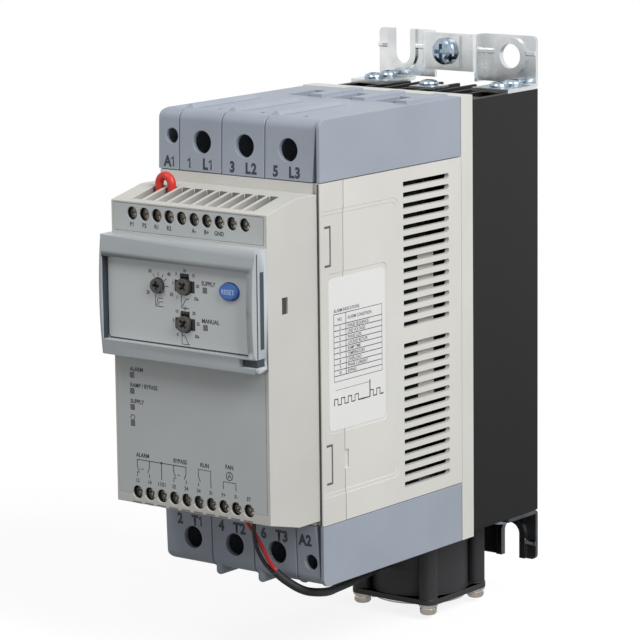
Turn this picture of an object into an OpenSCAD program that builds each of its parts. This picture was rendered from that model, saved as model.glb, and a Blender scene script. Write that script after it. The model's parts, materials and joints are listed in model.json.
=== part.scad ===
// Three-phase motor soft starter for panel mounting.
// The origin is at the middle of the rear mounting plane, the front faces -Y and +Z is up.

/* [Housing] */
// Width of the housing
body_w = 75; // [74:0.5:86]
// Height of the housing
body_h = 171; // [168:1:186]
// Depth of the housing in front of the heatsink
body_d = 94.5; // [92:0.5:110]
// Wall of the mouldings
wall = 2; // [1.6:0.1:2.3]
// Depth of the rear rim of the main housing
rim_d = 7.5; // [6:0.5:10]
// Depth of the front frame
frame_d = 13.5; // [11:0.5:18]
// Gap at a seam between two mouldings
seam = 0.3; // [0.2:0.05:0.5]
// Length of one side vent slot
vent_l = 29; // [20:1:32]
// Height of one side vent slot
vent_h = 2; // [1.6:0.1:2.4]
// Distance of the outermost vent slots from the shelves
vent_margin = 6.1; // [5:0.1:10]

/* [Power terminal covers] */
// Height of each cover
cover_h = 22.5; // [21.5:0.5:25]
// How far the front face leans back towards the outer edge
cover_lean = 0.6; // [0.4:0.1:2]
// Radius of the outer front edge
cover_r = 4; // [3:0.5:5]
// Width left beside the poles for the supply terminal
supply_bay_w = 15; // [14:0.5:16]
// Sideways shift of the line poles from the middle
pole_shift = 3; // [2.5:0.1:3.4]
// Further sideways shift of the load poles
load_shift = 1.6; // [0.5:0.1:1.8]
// How much further the load screws sit from the parting plane
load_drop = 1.5; // [0:0.1:1.6]
// Diameter of a power screw access hole
access_d = 8.5; // [7.8:0.1:9]
// Diameter of a supply screw access hole
supply_access_d = 5.7; // [5.4:0.1:6]
// Height of the barrier ribs on the outer face
rib_h = 1.3; // [0.8:0.1:2]
// Width of a cable entry
entry_w = 12; // [10:0.5:13]
// Depth of a cable entry
entry_d = 18; // [14:0.5:19]

/* [Control module] */
// Step from the housing's side to the control module's side
module_inset = 1.5; // [1:0.1:2.5]
// Depth of the control module in front of the housing
module_d = 28.8; // [27:0.2:34]
// Distance of the control module's ends from the housing's ends
module_end = 25.7; // [25:0.1:27]
// Drop of each wire entry slope
module_slope = 3.9; // [3.4:0.1:4.6]
// Depth of the flat part behind each wire entry slope
module_flat_d = 12.1; // [11:0.1:13]
// Wall of the control module
module_wall = 1.8; // [1.5:0.1:2.2]
// Pitch of the control terminals
terminal_pitch = 5.8; // [5.6:0.05:6]
// Diameter of a control screw hole
terminal_d = 4.9; // [4.6:0.1:5]
// Distance of the screw row from the edge of the front face
terminal_edge = 4.25; // [4:0.05:4.4]

/* [Front bezel] */
// Height of the bezel
bezel_h = 43.8; // [43:0.2:46]
// Thickness of the bezel at its upper and lower edges
bezel_d = 7.4; // [7:0.1:9]
// Bow of the bezel's front
bezel_bow = 1.4; // [0.8:0.1:2]
// Height of the recess for the settings panel
recess_h = 30.6; // [29.8:0.2:32]
// Depth of the settings panel behind the bezel's edges
recess_d = 2; // [1.6:0.1:2.4]
// Diameter of the current dial
current_dial_d = 5.3; // [5:0.1:6]
// Diameter of the two ramp dials
ramp_dial_d = 6; // [5.6:0.1:6.6]
// Width of the reset button
button_w = 8.2; // [7.6:0.1:9]
// Height of the reset button
button_h = 6.1; // [5.6:0.1:7]
// Travel of the reset button
button_travel = 0.8; // [0.4:0.1:0.9]

/* [Heatsink] */
// Depth of the heatsink
heatsink_d = 44; // [42:0.5:60]
// Distance of the heatsink's ends from the housing's ends
heatsink_inset = 2; // [1.5:0.1:3]
// Thickness of the heatsink's base plate
base_t = 9; // [7:0.5:11]
// Pitch of the fins
fin_pitch = 8; // [7.8:0.1:8.2]
// Thickness of a fin
fin_t = 1.6; // [1.2:0.1:2.2]
// Thickness of the outer walls
side_t = 3; // [2.4:0.1:3.6]

/* [Brackets] */
// Thickness of the bracket sheet
sheet_t = 1.5; // [1.2:0.1:2]
// Height of the bracket plates beyond the heatsink
bracket_h = 20.3; // [19:0.1:24]
// Diameter of the round fixing hole
fixing_d = 9.6; // [8:0.1:10]
// Width of the fixing slots
slot_w = 8.5; // [7:0.1:9]
// Distance of the fixing holes from the middle
fixing_x = 26; // [25:0.1:27]
// Forward step of the earth plate
earth_step = 7; // [6:0.1:9]
// Diameter of the bracket screws
bracket_screw_d = 4; // [3.5:0.1:4.2]

/* [Fan] */
// Width of the fan
fan_w = 40; // [39.8:0.1:40.4]
// Height of the fan
fan_h = 28; // [26:0.5:32]
// Pitch of the fan's screw holes
fan_pitch = 32; // [31.8:0.1:32.2]
// Wall of the fan's frame beside its duct
fan_rim = 1.7; // [1.6:0.1:2.2]
// Diameter of the fan's hub
fan_hub_d = 22; // [20:0.5:24]
// Number of fan blades
blade_n = 7; // [5:1:9]

/* [Leads] */
// Diameter of the jumper wire
jumper_d = 3.2; // [2.4:0.1:3.4]
// Diameter of one fan wire
lead_d = 1.5; // [1.2:0.05:1.5]
// Diameter of the fan lead's sleeve
sleeve_d = 3.2; // [2.8:0.1:3.4]

/* [Hidden] */
$fn = 48;

// Small allowance so that a cut passes through a face
cut = 1;
// Clearance of a piece that fits in a pocket
fit = 0.15;
// Radial clearance of a screw or shaft in its hole
shaft_fit = 0.05;
// Running gap between a moving piece and what is around it
run_gap = 0.35;

// Main levels, with y measured back from the housing's front and z up from its underside
half_w = body_w / 2;
rear_y = body_d + heatsink_d;
rim_y = body_d - rim_d;
cover_d = rim_y - seam;
low_z = cover_h + seam;
high_z = body_h - cover_h - seam;
heatsink_h = body_h - 2 * heatsink_inset;
sink_z0 = heatsink_inset;
sink_z1 = sink_z0 + heatsink_h;
vent_n = 14;
vent_pitch = (high_z - low_z - 2 * vent_margin) / (2 * vent_n);

// Power poles on the line side, and the seams left of them
pole_pitch = (body_w - supply_bay_w) / 3;
pole_xs = [for (i = [-1:1]) pole_shift + i * pole_pitch];
load_xs = [for (x = pole_xs) x + load_shift];
seam_xs = [for (x = pole_xs) x - pole_pitch / 2 - 0.7];
load_seam_xs = [for (x = load_xs) x - pole_pitch / 2 + 0.8];
pole_z = 10.9;
supply_x = half_w - 6.3;
supply_z = 12.4;
block_x = half_w - 3.6;
block_top_x = half_w - 1.9;
groove_w = 2.1;
cavity_x = half_w - 3.5;
partition_t = 1.5;
seam_cut_w = 0.5;
seam_cut_d = 0.7;
entry_y1 = body_d - 18.5;

// Power clamps and the parts behind them
clamp_w = 14;
clamp_d = 18;
clamp_h = 17.5;
clamp_wall = 2.5;
clamp_y0 = entry_y1 - clamp_d + 4;
bar_t = 2;
bar_w = 9;
bar_y = clamp_y0 + clamp_d - clamp_wall - bar_t;
clamp_screw_d = 6;
clamp_head_d = 7.6;
clamp_head_t = 4;
pad_t = 0.5;
scr_w = pole_pitch - 1;
scr_d = 17.5;
scr_h = 60;
scr_z = (body_h - scr_h) / 2;
scr_y = body_d - pad_t - scr_d;
supply_clamp_w = 4.6;
supply_clamp_y = [13, 25];
supply_head_d = 5;
supply_screw_d = 3;

// Boards
board_t = 1.6;
power_board_y = body_d - 38.5;
rail_w = 2;
relay_w = 19;
relay_h = 28;
relay_d = 17;
relay_gap = 1;
control_board_y = -20;
transformer_w = pole_pitch - 3;
transformer_h = 12;

// Control module levels
module_drop = 0.9;
module_mid = body_h / 2 - module_drop;
module_h = body_h - 2 * module_end;
module_face_h = module_h - 2 * module_slope;
module_top = module_mid + module_h / 2;
module_x = half_w - module_inset;
face_y = -module_d;
face_z0 = module_mid - module_face_h / 2;
face_z1 = module_mid + module_face_h / 2;
terminal_n = 10;
terminal_xs = [for (i = [0:terminal_n - 1]) (i - (terminal_n - 1) / 2) * terminal_pitch];
terminal_rise = module_face_h / 2 - terminal_edge;
terminal_hole_end = face_y + 12.8;
funnel_w = 4.2;
funnel_drop = 3.6;
funnel_y = -module_flat_d + 0.7;
cage_w = 4;
cage_h = 5.4;
cage_y = [face_y + 6.4, face_y + 12.4];
terminal_head_d = 4.3;
terminal_head_y = [face_y + 2.2, face_y + 4.4];
terminal_shank_d = 2.4;
legend_t = 0.4;
legend_x0 = -module_x + 1.2;
legend_x1 = module_x - 1.6;
window_h = 26;

// Bezel levels
bezel_drop = 11.8;
bezel_mid = face_z1 - bezel_drop - bezel_h / 2;
bezel_edge_y = face_y - bezel_d;
bezel_front_y = bezel_edge_y - bezel_bow;
recess_x0 = -module_x + 2;
recess_x1 = module_x - 2.6;
recess_mid = bezel_mid - 0.9;
panel_t = 0.8;
panel_y = bezel_edge_y + recess_d;
ledge_y = panel_y + panel_t;
window_x = module_x - 4;

// Dials and button on the settings panel, as [x, z]
current_at = [-9.7, bezel_mid + 5.3];
ramp_up_at = [2.6, bezel_mid + 6.1];
ramp_down_at = [2.6, bezel_mid - 7.5];
button_at = [23.4, bezel_mid + 6.2];
panel_lamps = [[11.9, bezel_mid + 5.5], [11.9, bezel_mid - 8]];
legend_lamps = [for (i = [0:3]) [-27.8, bezel_mid - bezel_h / 2 - 8.4 - 6 * i]];
lamp_w = 1.8;
lug_w = 4.2;
lug_r = 4.6;
dial_proud = 1.7;
dial_stem_d = 3;
dial_head_t = 3.2;
pot_w = 8;
pot_front_y = ledge_y + 1;
stem_end_y = pot_front_y + 5;
button_proud = 1.3;
button_flange = 0.8;
button_flange_t = 1;
switch_w = 6;
switch_d = 3.5;
button_gap = 0.3;

// Bracket screws and ports in the heatsink
port_x = half_w - 7.5;
port_ys = [rear_y - 15.5, rear_y - 5.8];
port_d = 8;
mid_port_y = body_d + 24;
foot_d = 20.5;
bend_r = sheet_t + 0.4;
foot_x = 20.5;
earth_x0 = -12;
earth_x1 = 13.5;
earth_r = sheet_t + 0.6;
earth_at = [0.5, 13.4];
earth_window_h = 5.8;
fixing_z = 12.2;
slot_z = 10.6;
collar_w = 2.6;
collar_t = 1;
bead_h = 2.2;
bead_t = 0.9;
bead_z = 13.6;
corner_r = 2;
screw_head_d = 7.6;
screw_head_t = 2.2;
screw_l = 9;
plate_washer_w = 11;
plate_washer_t = 1;
earth_head_d = 10.4;

// Fan levels
fan_y = body_d + 15.5;
fan_duct_d = fan_w - 2 * fan_rim;
adapter_z0 = sink_z0 - 4;
adapter_step_z = sink_z0 - 2.5;
adapter_x = foot_x - 0.7;
fan_z1 = adapter_z0;
fan_z0 = fan_z1 - fan_h;
flange_t = 3.5;
fan_foot_t = 2.2;
hub_plate_t = 2;
spoke_w = 2.4;
tube_d = 7;
bearing_d = 5;
bearing_t = 4;
fan_shaft_d = 2;
rotor_z0 = fan_z0 + 1;
rotor_z1 = fan_z1 - hub_plate_t - 2;
rotor_wall = 1.3;
blade_t = 1.1;
blade_tilt = 42;
tube_z0 = rotor_z0 + 3;
stator_d = fan_hub_d - 2 * rotor_wall - 1.4;
fan_screw_d = 3;
fan_hole_d = 3.4;
fan_head_d = 7.4;
fan_washer_t = 0.8;
fan_spring_t = 1;
fan_head_t = 2.4;
guard_wire_d = 1.4;
guard_rs = [for (k = [0.22, 0.355, 0.49]) k * fan_duct_d];
guard_z = fan_z0 - guard_wire_d / 2 - 0.05;

// Routes of the fan's lead, with y measured back from the housing's front and z up from its underside
red_route = [[14.5, -18.6, 32], [14.5, -18.6, 30.4], [14.5, -18.3, 28.8], [14.6, -17.6, 27.2], [14.7, -16.7, 25.6],
    [14.9, -15.6, 24], [15.1, -14.3, 22.2], [15.4, -12.8, 20.2], [15.6, -11.3, 18], [15.8, -9.8, 15.6],
    [16, -8.4, 13.2], [16.2, -7.1, 11], [16.5, -5.9, 8.8], [16.8, -4.9, 6.9], [17.3, -3.9, 5.4],
    [18.1, -3.5, 4.6]];
black_route = [[20.3, -18.6, 32], [20.3, -18.7, 30.4], [20.2, -18.7, 28.8], [19.9, -18.3, 27.2], [19.4, -17.7, 25.6],
    [18.7, -16.9, 24], [17.8, -15.9, 22.2], [16.8, -14.6, 20.2], [15.9, -13.2, 18], [15.2, -11.7, 15.6],
    [14.8, -10.2, 13.2], [14.6, -8.7, 11], [14.7, -7.2, 8.8], [15, -5.8, 6.7], [15.5, -4.7, 5.3],
    [16.2, -3.9, 4.1], [17, -3.5, 3.3]];
sleeve_route = [[17.7, -3.4, 3.8], [20, -2.2, 1.6], [22.6, -0.8, -0.4], [25, 1, -2.2], [26.6, 3.6, -3.6],
    [27.2, 7, -4.6], [26.8, 11, -5.6], [25.4, 16, -6.8], [23.2, 21, -8], [20.6, 26, -9.2],
    [17.8, 31, -10.3], [14.8, 37, -11.5], [11.8, 44, -12.7], [8.8, 52, -13.8], [5.8, 61, -14.7],
    [3.2, 70, -15.2], [1.2, 78, -15.3], [0.2, 84, -15.2], [0, 90.7, -15.2]];

// Moves a piece from the housing's front lower edge to the part's origin.
module place() {
    translate([0, -rear_y, -body_h / 2]) children();
}

// Turns a piece of the line side into its copy on the load side.
module turned() {
    translate([0, 0, body_h]) rotate([0, 180, 0]) children();
}

// Mirrors a piece of the control module about the module's middle.
module module_mirrored() {
    translate([0, 0, 2 * module_mid]) mirror([0, 0, 1]) children();
}

module box(x, y, z) {
    translate([x[0], y[0], z[0]]) cube([x[1] - x[0], y[1] - y[0], z[1] - z[0]]);
}

// Extrudes a y-z outline along X.
module along_x(x) {
    translate([x[0], 0, 0]) rotate([90, 0, 90]) linear_extrude(x[1] - x[0]) children();
}

// Extrudes an x-z outline along Y.
module along_y(y) {
    translate([0, y[1], 0]) rotate([90, 0, 0]) linear_extrude(y[1] - y[0]) children();
}

module rod_y(x, z, y, d) {
    translate([x, y[0], z]) rotate([-90, 0, 0]) cylinder(d = d, h = y[1] - y[0]);
}

module rod_z(x, y, z, d) {
    translate([x, y, z[0]]) cylinder(d = d, h = z[1] - z[0]);
}

function arc(c, r, a0, a1, n = 8) =
    [for (i = [0:n]) c + r * [cos(a0 + (a1 - a0) * i / n), sin(a0 + (a1 - a0) * i / n)]];

function ellipse(w, h, n = 40) = [for (i = [0:n - 1]) [w / 2 * cos(360 * i / n), h / 2 * sin(360 * i / n)]];

// A flat outline with four rounded corners.
function round_box(x, z, r) = concat(
    arc([x[1] - r, z[0] + r], r, -90, 0, 6), arc([x[1] - r, z[1] - r], r, 0, 90, 6),
    arc([x[0] + r, z[1] - r], r, 90, 180, 6), arc([x[0] + r, z[0] + r], r, 180, 270, 6));

function unit(v) = v / norm(v);
function tangent(p, i) = unit(p[min(i + 1, len(p) - 1)] - p[max(i - 1, 0)]);

// A round tube swept along a list of points.
module tube(points, d, side, sides = 8) {
    n = len(points);
    rings = [for (i = [0:n - 1])
        let (t = tangent(points, i), u = unit(cross(t, side)), v = cross(t, u))
        for (k = [0:sides - 1]) points[i] + d / 2 * (cos(360 * k / sides) * u + sin(360 * k / sides) * v)];
    walls = [for (i = [0:n - 2], k = [0:sides - 1])
        let (a = i * sides + k, b = i * sides + (k + 1) % sides) [a, b, b + sides, a + sides]];
    start = [for (k = [sides - 1:-1:0]) k];
    end = [for (k = [0:sides - 1]) (n - 1) * sides + k];
    polyhedron(concat(rings), concat(walls, [start, end]));
}

// Black extruded heatsink with a base plate, fins and screw ports.
module heatsink() {
    fin_xs = [for (i = [-3:3]) i * fin_pitch];
    color("#29292b") place() translate([0, 0, sink_z0]) linear_extrude(heatsink_h) difference() {
        union() {
            translate([-half_w, body_d]) square([body_w, base_t]);
            for (s = [-1, 1]) translate([s * (half_w - side_t / 2) - side_t / 2, body_d])
                square([side_t, heatsink_d]);
            for (x = fin_xs) translate([x - fin_t / 2, body_d]) square([fin_t, heatsink_d]);
            for (s = [-1, 1], y = port_ys) {
                translate([s * port_x, y]) circle(d = port_d);
                translate([min(s * port_x, s * (half_w - 1)), y - port_d / 4])
                    square([half_w - 1 - port_x, port_d / 2]);
            }
            translate([0, mid_port_y]) circle(d = port_d);
        }
        for (s = [-1, 1], y = port_ys) translate([s * port_x, y]) circle(d = bracket_screw_d + 2 * shaft_fit);
        translate([0, mid_port_y]) circle(d = bracket_screw_d + 2 * shaft_fit);
    }
}

// Cream shell with side walls, shelves under the covers, vents and the rear rim.
module main_housing() {
    side_y = frame_d + seam;
    inner_x = half_w - wall;
    vent_y = [rim_y - 8 - vent_l, rim_y - 8];
    rim_line = 0.3;
    pry_d = 1;
    pry_l = 2.2;
    pry_h = 7;
    pry_z = 19.2;
    color("#d8d5cd") place() {
        difference() {
            union() {
                box([-half_w, half_w], [side_y, body_d], [low_z, high_z]);
                box([-half_w, half_w], [rim_y, body_d], [0, body_h]);
            }
            box([-inner_x, inner_x], [side_y - cut, body_d + cut], [low_z + wall, high_z - wall]);
            for (z = [[wall, low_z], [high_z, body_h - wall]])
                box([-inner_x, inner_x], [rim_y - cut, body_d + cut], z);
            for (i = [-vent_n:vent_n]) if (i != 0) along_x([-half_w - cut, half_w + cut])
                polygon(vent_outline(vent_y, body_h / 2 + i * vent_pitch));
            box([half_w - pry_d, half_w + cut], [side_y - cut, side_y + pry_l], [low_z + pry_z, low_z + pry_z + pry_h]);
            side_recesses();
            for (s = [-1, 1]) box(s > 0 ? [half_w - rim_line, half_w + cut] : [-half_w - cut, -half_w + rim_line],
                [rim_y - rim_line / 2, rim_y + rim_line / 2], [low_z - cut, high_z + cut]);
            for (x = pole_xs) bar_hole(x, [high_z - wall - cut, high_z + cut]);
            for (x = load_xs) bar_hole(-x, [low_z - cut, low_z + wall + cut]);
        }
        for (s = [-1, 1]) {
            rail_x = s > 0 ? [inner_x - rail_w, inner_x] : [-inner_x, -inner_x + rail_w];
            box(rail_x, [power_board_y + board_t, power_board_y + board_t + rail_w], [low_z + wall, high_z - wall]);
        }
    }
}

// Shallow stepped recess in each side of the shell, with a deeper bed for a label.
module side_recesses() {
    end = 10.2;
    step = 1.5;
    bed_h = 29.4;
    panel_z = [low_z + end, high_z - end];
    side_recess(0.15, [-4, 47], panel_z, 3.5);
    side_recess(0.3, [-4, 47 - step], [panel_z[0] + step, panel_z[1] - step], 2.5);
    side_recess(0.5, [3.5, 40], [body_h / 2 - bed_h, body_h / 2 + bed_h], 2.5);
}

module side_recess(d, y, z, r) {
    for (x = [[half_w - d, half_w + cut], [-half_w - cut, -half_w + d]]) along_x(x) polygon(round_box(y, z, r));
}

// Side outline of a vent slot with a rounded rear end.
function vent_outline(y, z) = concat([[y[0], z - vent_h / 2]],
    arc([y[1] - vent_h / 2, z], vent_h / 2, -90, 90), [[y[0], z + vent_h / 2]]);

// Passage of one power bar through a shelf.
module bar_hole(x, z) {
    box([x - bar_w / 2 - seam, x + bar_w / 2 + seam], [bar_y - seam, bar_y + bar_t + seam], z);
}

// Cream front part of the shell, with a groove beside its right edge and snap latches in its sides.
module front_frame() {
    edge_r = 1.5;
    window = [26, 12];
    groove_d = 1.2;
    latch_y = [2.7, 6.5];
    latch_h = 15;
    latch_zs = [body_h * 0.219, body_h * 0.687];
    plan = concat([[half_w, frame_d]], [[-half_w, frame_d]], arc([-half_w + edge_r, edge_r], edge_r, 180, 270, 6),
        arc([half_w - edge_r, edge_r], edge_r, 270, 360, 6));
    color("#d8d5cd") place() difference() {
        translate([0, 0, low_z]) linear_extrude(high_z - low_z) polygon(plan);
        box([-half_w + wall, half_w - wall], [wall, frame_d + cut], [low_z + wall, high_z - wall]);
        box([-window[0], window[0]], [-cut, wall + cut], [body_h / 2 - window[1], body_h / 2 + window[1]]);
        box([block_x, block_x + groove_w], [-cut, groove_d], [low_z - cut, high_z + cut]);
        side_recesses();
        for (s = [-1, 1], z = latch_zs) latch_outline(s, latch_y, [z, z + latch_h]);
    }
}

// U-shaped slit that frees one snap latch.
module latch_outline(s, y, z) {
    slit = 0.9;
    x = s > 0 ? [half_w - wall / 2, half_w + cut] : [-half_w - cut, -half_w + wall / 2];
    box(x, [y[1] - slit, y[1]], z);
    for (e = [z[0], z[1] - slit]) box(x, y, [e, e + slit]);
}

// Side outline of a power terminal cover, grown outwards by g.
function cover_outline(g) = concat([[-g, 0]],
    arc([cover_lean + cover_r, cover_h - cover_r], cover_r + g, 180, 90),
    [[cover_d, cover_h + g], [cover_d, 0]]);

// Side outline of the hollow inside a cover.
function bay_outline() = concat([[wall, -cut]],
    arc([cover_lean + cover_r, cover_h - cover_r], cover_r - wall, 180, 90),
    [[cover_d - wall, cover_h - wall], [cover_d - wall, -cut]]);

// Side outline of the thin side skin of a cover.
function skin_outline(r = 3) = concat([[0, 0]], arc([r, cover_h - r], r, 180, 90, 6), [[cover_d, cover_h], [cover_d, 0]]);

// Cutter that rounds the plain upper side edge of a cover on the left.
module plain_edge() {
    r = 2.6;
    along_y([-cut, cover_d + cut]) polygon(concat([[-half_w - cut, cover_h - r]],
        arc([-half_w + r, cover_h - r], r, 180, 90), [[-half_w + r, cover_h + cut], [-half_w - cut, cover_h + cut]]));
}

// Front block of a cover on the left of its tapered groove.
module cover_block() {
    intersection() {
        along_x([-half_w, half_w]) polygon(cover_outline(0));
        along_y([-cut, cover_d]) polygon([[-half_w, 0], [block_x, 0], [block_top_x, cover_h], [-half_w, cover_h]]);
    }
}

// One power terminal cover over the poles xs, with its parting plane at z = 0.
// A tapered groove and a thin skin are on side s, and drop moves the screw holes outwards.
module terminal_cover(s, xs, seams, drop) {
    plain_x = half_w - wall + partition_t / 2;
    skin_x = block_x - 1.5 + partition_t / 2;
    edges = concat([s > 0 ? -plain_x : -skin_x], seams, [s > 0 ? skin_x : plain_x]);
    back_y = cover_lean + cover_r;
    hole_y = [-cut, back_y + wall];
    rib_l = 43;
    rib_w = 2;
    rib_slope = 1.6;
    rib_start = 2;
    rail_y = [entry_y1 - entry_d - 1, cover_d - 4];
    rail_h = rib_h * 0.9;
    probe = [2.4, 2];
    probe_at = [2.3, 8.2];
    difference() {
        union() {
            if (s > 0) cover_block();
            else mirror([1, 0, 0]) cover_block();
            along_x(s > 0 ? [block_x + groove_w, half_w] : [-half_w, -block_x - groove_w]) polygon(skin_outline());
            box([-half_w, half_w], [back_y, cover_d], [0, cover_h]);
            for (x = seams) intersection() {
                along_x([x + seam_cut_w / 2, x + rib_w + rib_slope + cut]) polygon([[rib_start, cover_h - cover_r],
                    [back_y + rib_h, cover_h + rib_h], [rib_l, cover_h + rib_h], [rib_l, cover_h - cover_r]]);
                along_y([0, rib_l]) polygon([[x, cover_h - cover_r], [x, cover_h + rib_h],
                    [x + rib_w, cover_h + rib_h], [x + rib_w + rib_slope, cover_h - 0.1],
                    [x + rib_w + rib_slope, cover_h - cover_r]]);
            }
            for (x = xs) box([x + entry_w / 2, min(x + pole_pitch - entry_w / 2 - 2, half_w - 3)], rail_y,
                [cover_h - cut, cover_h + rail_h]);
        }
        if (s > 0) plain_edge();
        else mirror([1, 0, 0]) plain_edge();
        for (i = [0:len(edges) - 2]) along_x([edges[i] + partition_t / 2, edges[i + 1] - partition_t / 2])
            polygon(bay_outline());
        box(s > 0 ? [block_x - 2, cavity_x] : [-cavity_x, -block_x + 2], [back_y + wall, cover_d - wall],
            [-cut, cover_h - wall]);
        for (x = xs) {
            rod_y(x, pole_z + drop, hole_y, access_d);
            box([x - entry_w / 2, x + entry_w / 2], [entry_y1 - entry_d, entry_y1], [cover_h - wall - cut, cover_h + rib_h]);
            box([x + probe_at[0] - probe[0] / 2, x + probe_at[0] + probe[0] / 2],
                [probe_at[1] - probe[1] / 2, probe_at[1] + probe[1] / 2], [cover_h - wall - cut, cover_h + rib_h]);
        }
        rod_y(-supply_x, supply_z + drop, hole_y, supply_access_d);
        for (x = seams) along_x([x - seam_cut_w / 2, x + seam_cut_w / 2]) difference() {
            polygon([[-cut, 0], [-cut, cover_h + cut], [rib_l, cover_h + cut], [rib_l, 0]]);
            polygon(cover_outline(-seam_cut_d));
        }
    }
}

module line_terminal_cover() {
    color("#8b95a6") place() translate([0, 0, body_h - cover_h]) terminal_cover(1, pole_xs, seam_xs, 0);
}

module load_terminal_cover() {
    color("#8b95a6") place() turned() translate([0, 0, body_h - cover_h])
        terminal_cover(-1, load_xs, load_seam_xs, load_drop);
}

// Cream housing of the control module, with two rows of terminals.
module control_housing() {
    base_z = [module_mid - module_h / 2, module_top];
    inner_x = module_x - module_wall;
    shroud_d = 15;
    hollow_h = module_h / 2 - module_wall;
    hollow_face_h = terminal_rise - 7;
    board_room_h = face_z1 - funnel_drop - module_wall - module_mid;
    vent_y = [-20.6, -17.3];
    vent_z = [bezel_mid - 3, bezel_mid + 3];
    outline = [[0, base_z[0]], [-module_flat_d, base_z[0]], [face_y, face_z0],
        [face_y, face_z1], [-module_flat_d, base_z[1]], [0, base_z[1]]];
    color("#d8d5cd") place() difference() {
        along_x([-module_x, module_x]) polygon(outline);
        box([-inner_x, inner_x], [face_y + module_wall, cut], [module_mid - hollow_face_h, module_mid + hollow_face_h]);
        box([-inner_x, inner_x], [-shroud_d, cut], [module_mid - board_room_h, module_mid + board_room_h]);
        box([-inner_x, inner_x], [funnel_y + module_wall, cut], [module_mid - hollow_h, module_mid + hollow_h]);
        terminal_row();
        module_mirrored() terminal_row();
        box([-window_x, window_x], [face_y - cut, face_y + module_wall + cut],
            [recess_mid - window_h / 2, recess_mid + window_h / 2]);
        legend_pocket(upper_legend_z());
        legend_pocket(lower_legend_z());
        for (p = legend_lamps) lamp_hole(p, [face_y - cut, face_y + module_wall + cut]);
        box([module_x - module_wall - cut, module_x + cut], vent_y, vent_z);
    }
}

function upper_legend_z() = [bezel_mid + bezel_h / 2 + 1, face_z1 - 0.9];
function lower_legend_z() = [face_z0 + 3.6, bezel_mid - bezel_h / 2 - 0.4];

module legend_pocket(z) {
    box([legend_x0 - fit, legend_x1 + fit], [face_y - cut, face_y + legend_t], [z[0] - fit, z[1] + fit]);
}

module lamp_hole(p, y) {
    w = lamp_w / 2 + fit;
    box([p[0] - w, p[0] + w], y, [p[1] - w, p[1] + w]);
}

// Screw holes, cage pockets and wire funnels of one terminal row.
module terminal_row() {
    screw_z = module_mid + terminal_rise;
    funnel = [[face_y + 1.5, face_z1 + 0.3], [face_y + 1.5, module_top + cut], [funnel_y, module_top + cut],
        [funnel_y, face_z1 - funnel_drop], [face_y + 6.5, face_z1 - 2.4]];
    for (x = terminal_xs) {
        rod_y(x, screw_z, [face_y - cut, terminal_hole_end], terminal_d);
        box([x - cage_w / 2 - fit, x + cage_w / 2 + fit], [cage_y[0] - fit, face_y + 14],
            [screw_z - cage_h / 2 - fit, screw_z + cage_h / 2 + fit]);
        along_x([x - funnel_w / 2, x + funnel_w / 2]) polygon(funnel);
    }
}

// Grey snap-on front with a bowed face, a recess, a pry notch and a slot in its right side.
module front_bezel() {
    half = bezel_h / 2;
    bow_r = (half * half + bezel_bow * bezel_bow) / (2 * bezel_bow);
    bow_a = asin(half / bow_r);
    bow_c = [bezel_front_y + bow_r, bezel_mid];
    outline = concat(arc(bow_c, bow_r, 180 + bow_a, 180 - bow_a, 16),
        [[face_y, bezel_mid + half], [face_y, bezel_mid - half]]);
    notch_x = [module_x - 7, module_x + cut];
    notch_z = [bezel_mid - half + 2, bezel_mid - half + 5];
    slot_z = [bezel_mid - 13.5, bezel_mid + 14];
    line_d = 0.5;
    line_y = [bezel_edge_y + 1.3, bezel_edge_y + 1.8];
    color("#8f979c") place() difference() {
        along_x([-module_x, module_x]) polygon(outline);
        box([recess_x0, recess_x1], [bezel_front_y - cut, ledge_y], [recess_mid - recess_h / 2, recess_mid + recess_h / 2]);
        box([-window_x, window_x], [ledge_y - cut, face_y + cut], [recess_mid - window_h / 2, recess_mid + window_h / 2]);
        box(notch_x, [bezel_front_y - cut, bezel_edge_y + 6], notch_z);
        box([module_x - 1.2, module_x + cut], [face_y - 4, face_y - 2.2], slot_z);
        box([module_x - line_d, module_x + cut], line_y, [bezel_mid - half - cut, bezel_mid + half + cut]);
    }
}

// Light grey settings panel in the bezel's recess.
module settings_panel() {
    h = recess_h / 2 - fit;
    y = [panel_y - cut, ledge_y + cut];
    color("#b3b7b8") place() difference() {
        box([recess_x0 + fit, recess_x1 - fit], [panel_y, ledge_y], [recess_mid - h, recess_mid + h]);
        rod_y(current_at[0], current_at[1], y, current_dial_d + 2 * run_gap);
        for (p = [ramp_up_at, ramp_down_at]) {
            rod_y(p[0], p[1], y, ramp_dial_d + 2 * run_gap);
            box([p[0] - lug_w / 2, p[0] + lug_w / 2], y, [p[1], p[1] + lug_r]);
            box([p[0] - lug_r, p[0] + lug_r], y, [p[1] - lug_w / 2, p[1] + lug_w / 2]);
        }
        translate([button_at[0], 0, button_at[1]]) along_y(y) polygon(ellipse(button_w + 2 * run_gap, button_h + 2 * run_gap));
        for (p = panel_lamps) lamp_hole(p, y);
    }
}

module legend_panel(z) {
    difference() {
        box([legend_x0, legend_x1], [face_y, face_y + legend_t], z);
        for (x = terminal_xs, s = [-1, 1]) rod_y(x, module_mid + s * terminal_rise, [face_y - cut, face_y + legend_t + cut], terminal_d);
        for (p = legend_lamps) lamp_hole(p, [face_y - cut, face_y + legend_t + cut]);
    }
}

module upper_legend_panel() {
    color("#a9adad") place() legend_panel(upper_legend_z());
}

module lower_legend_panel() {
    color("#a9adad") place() legend_panel(lower_legend_z());
}

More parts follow.
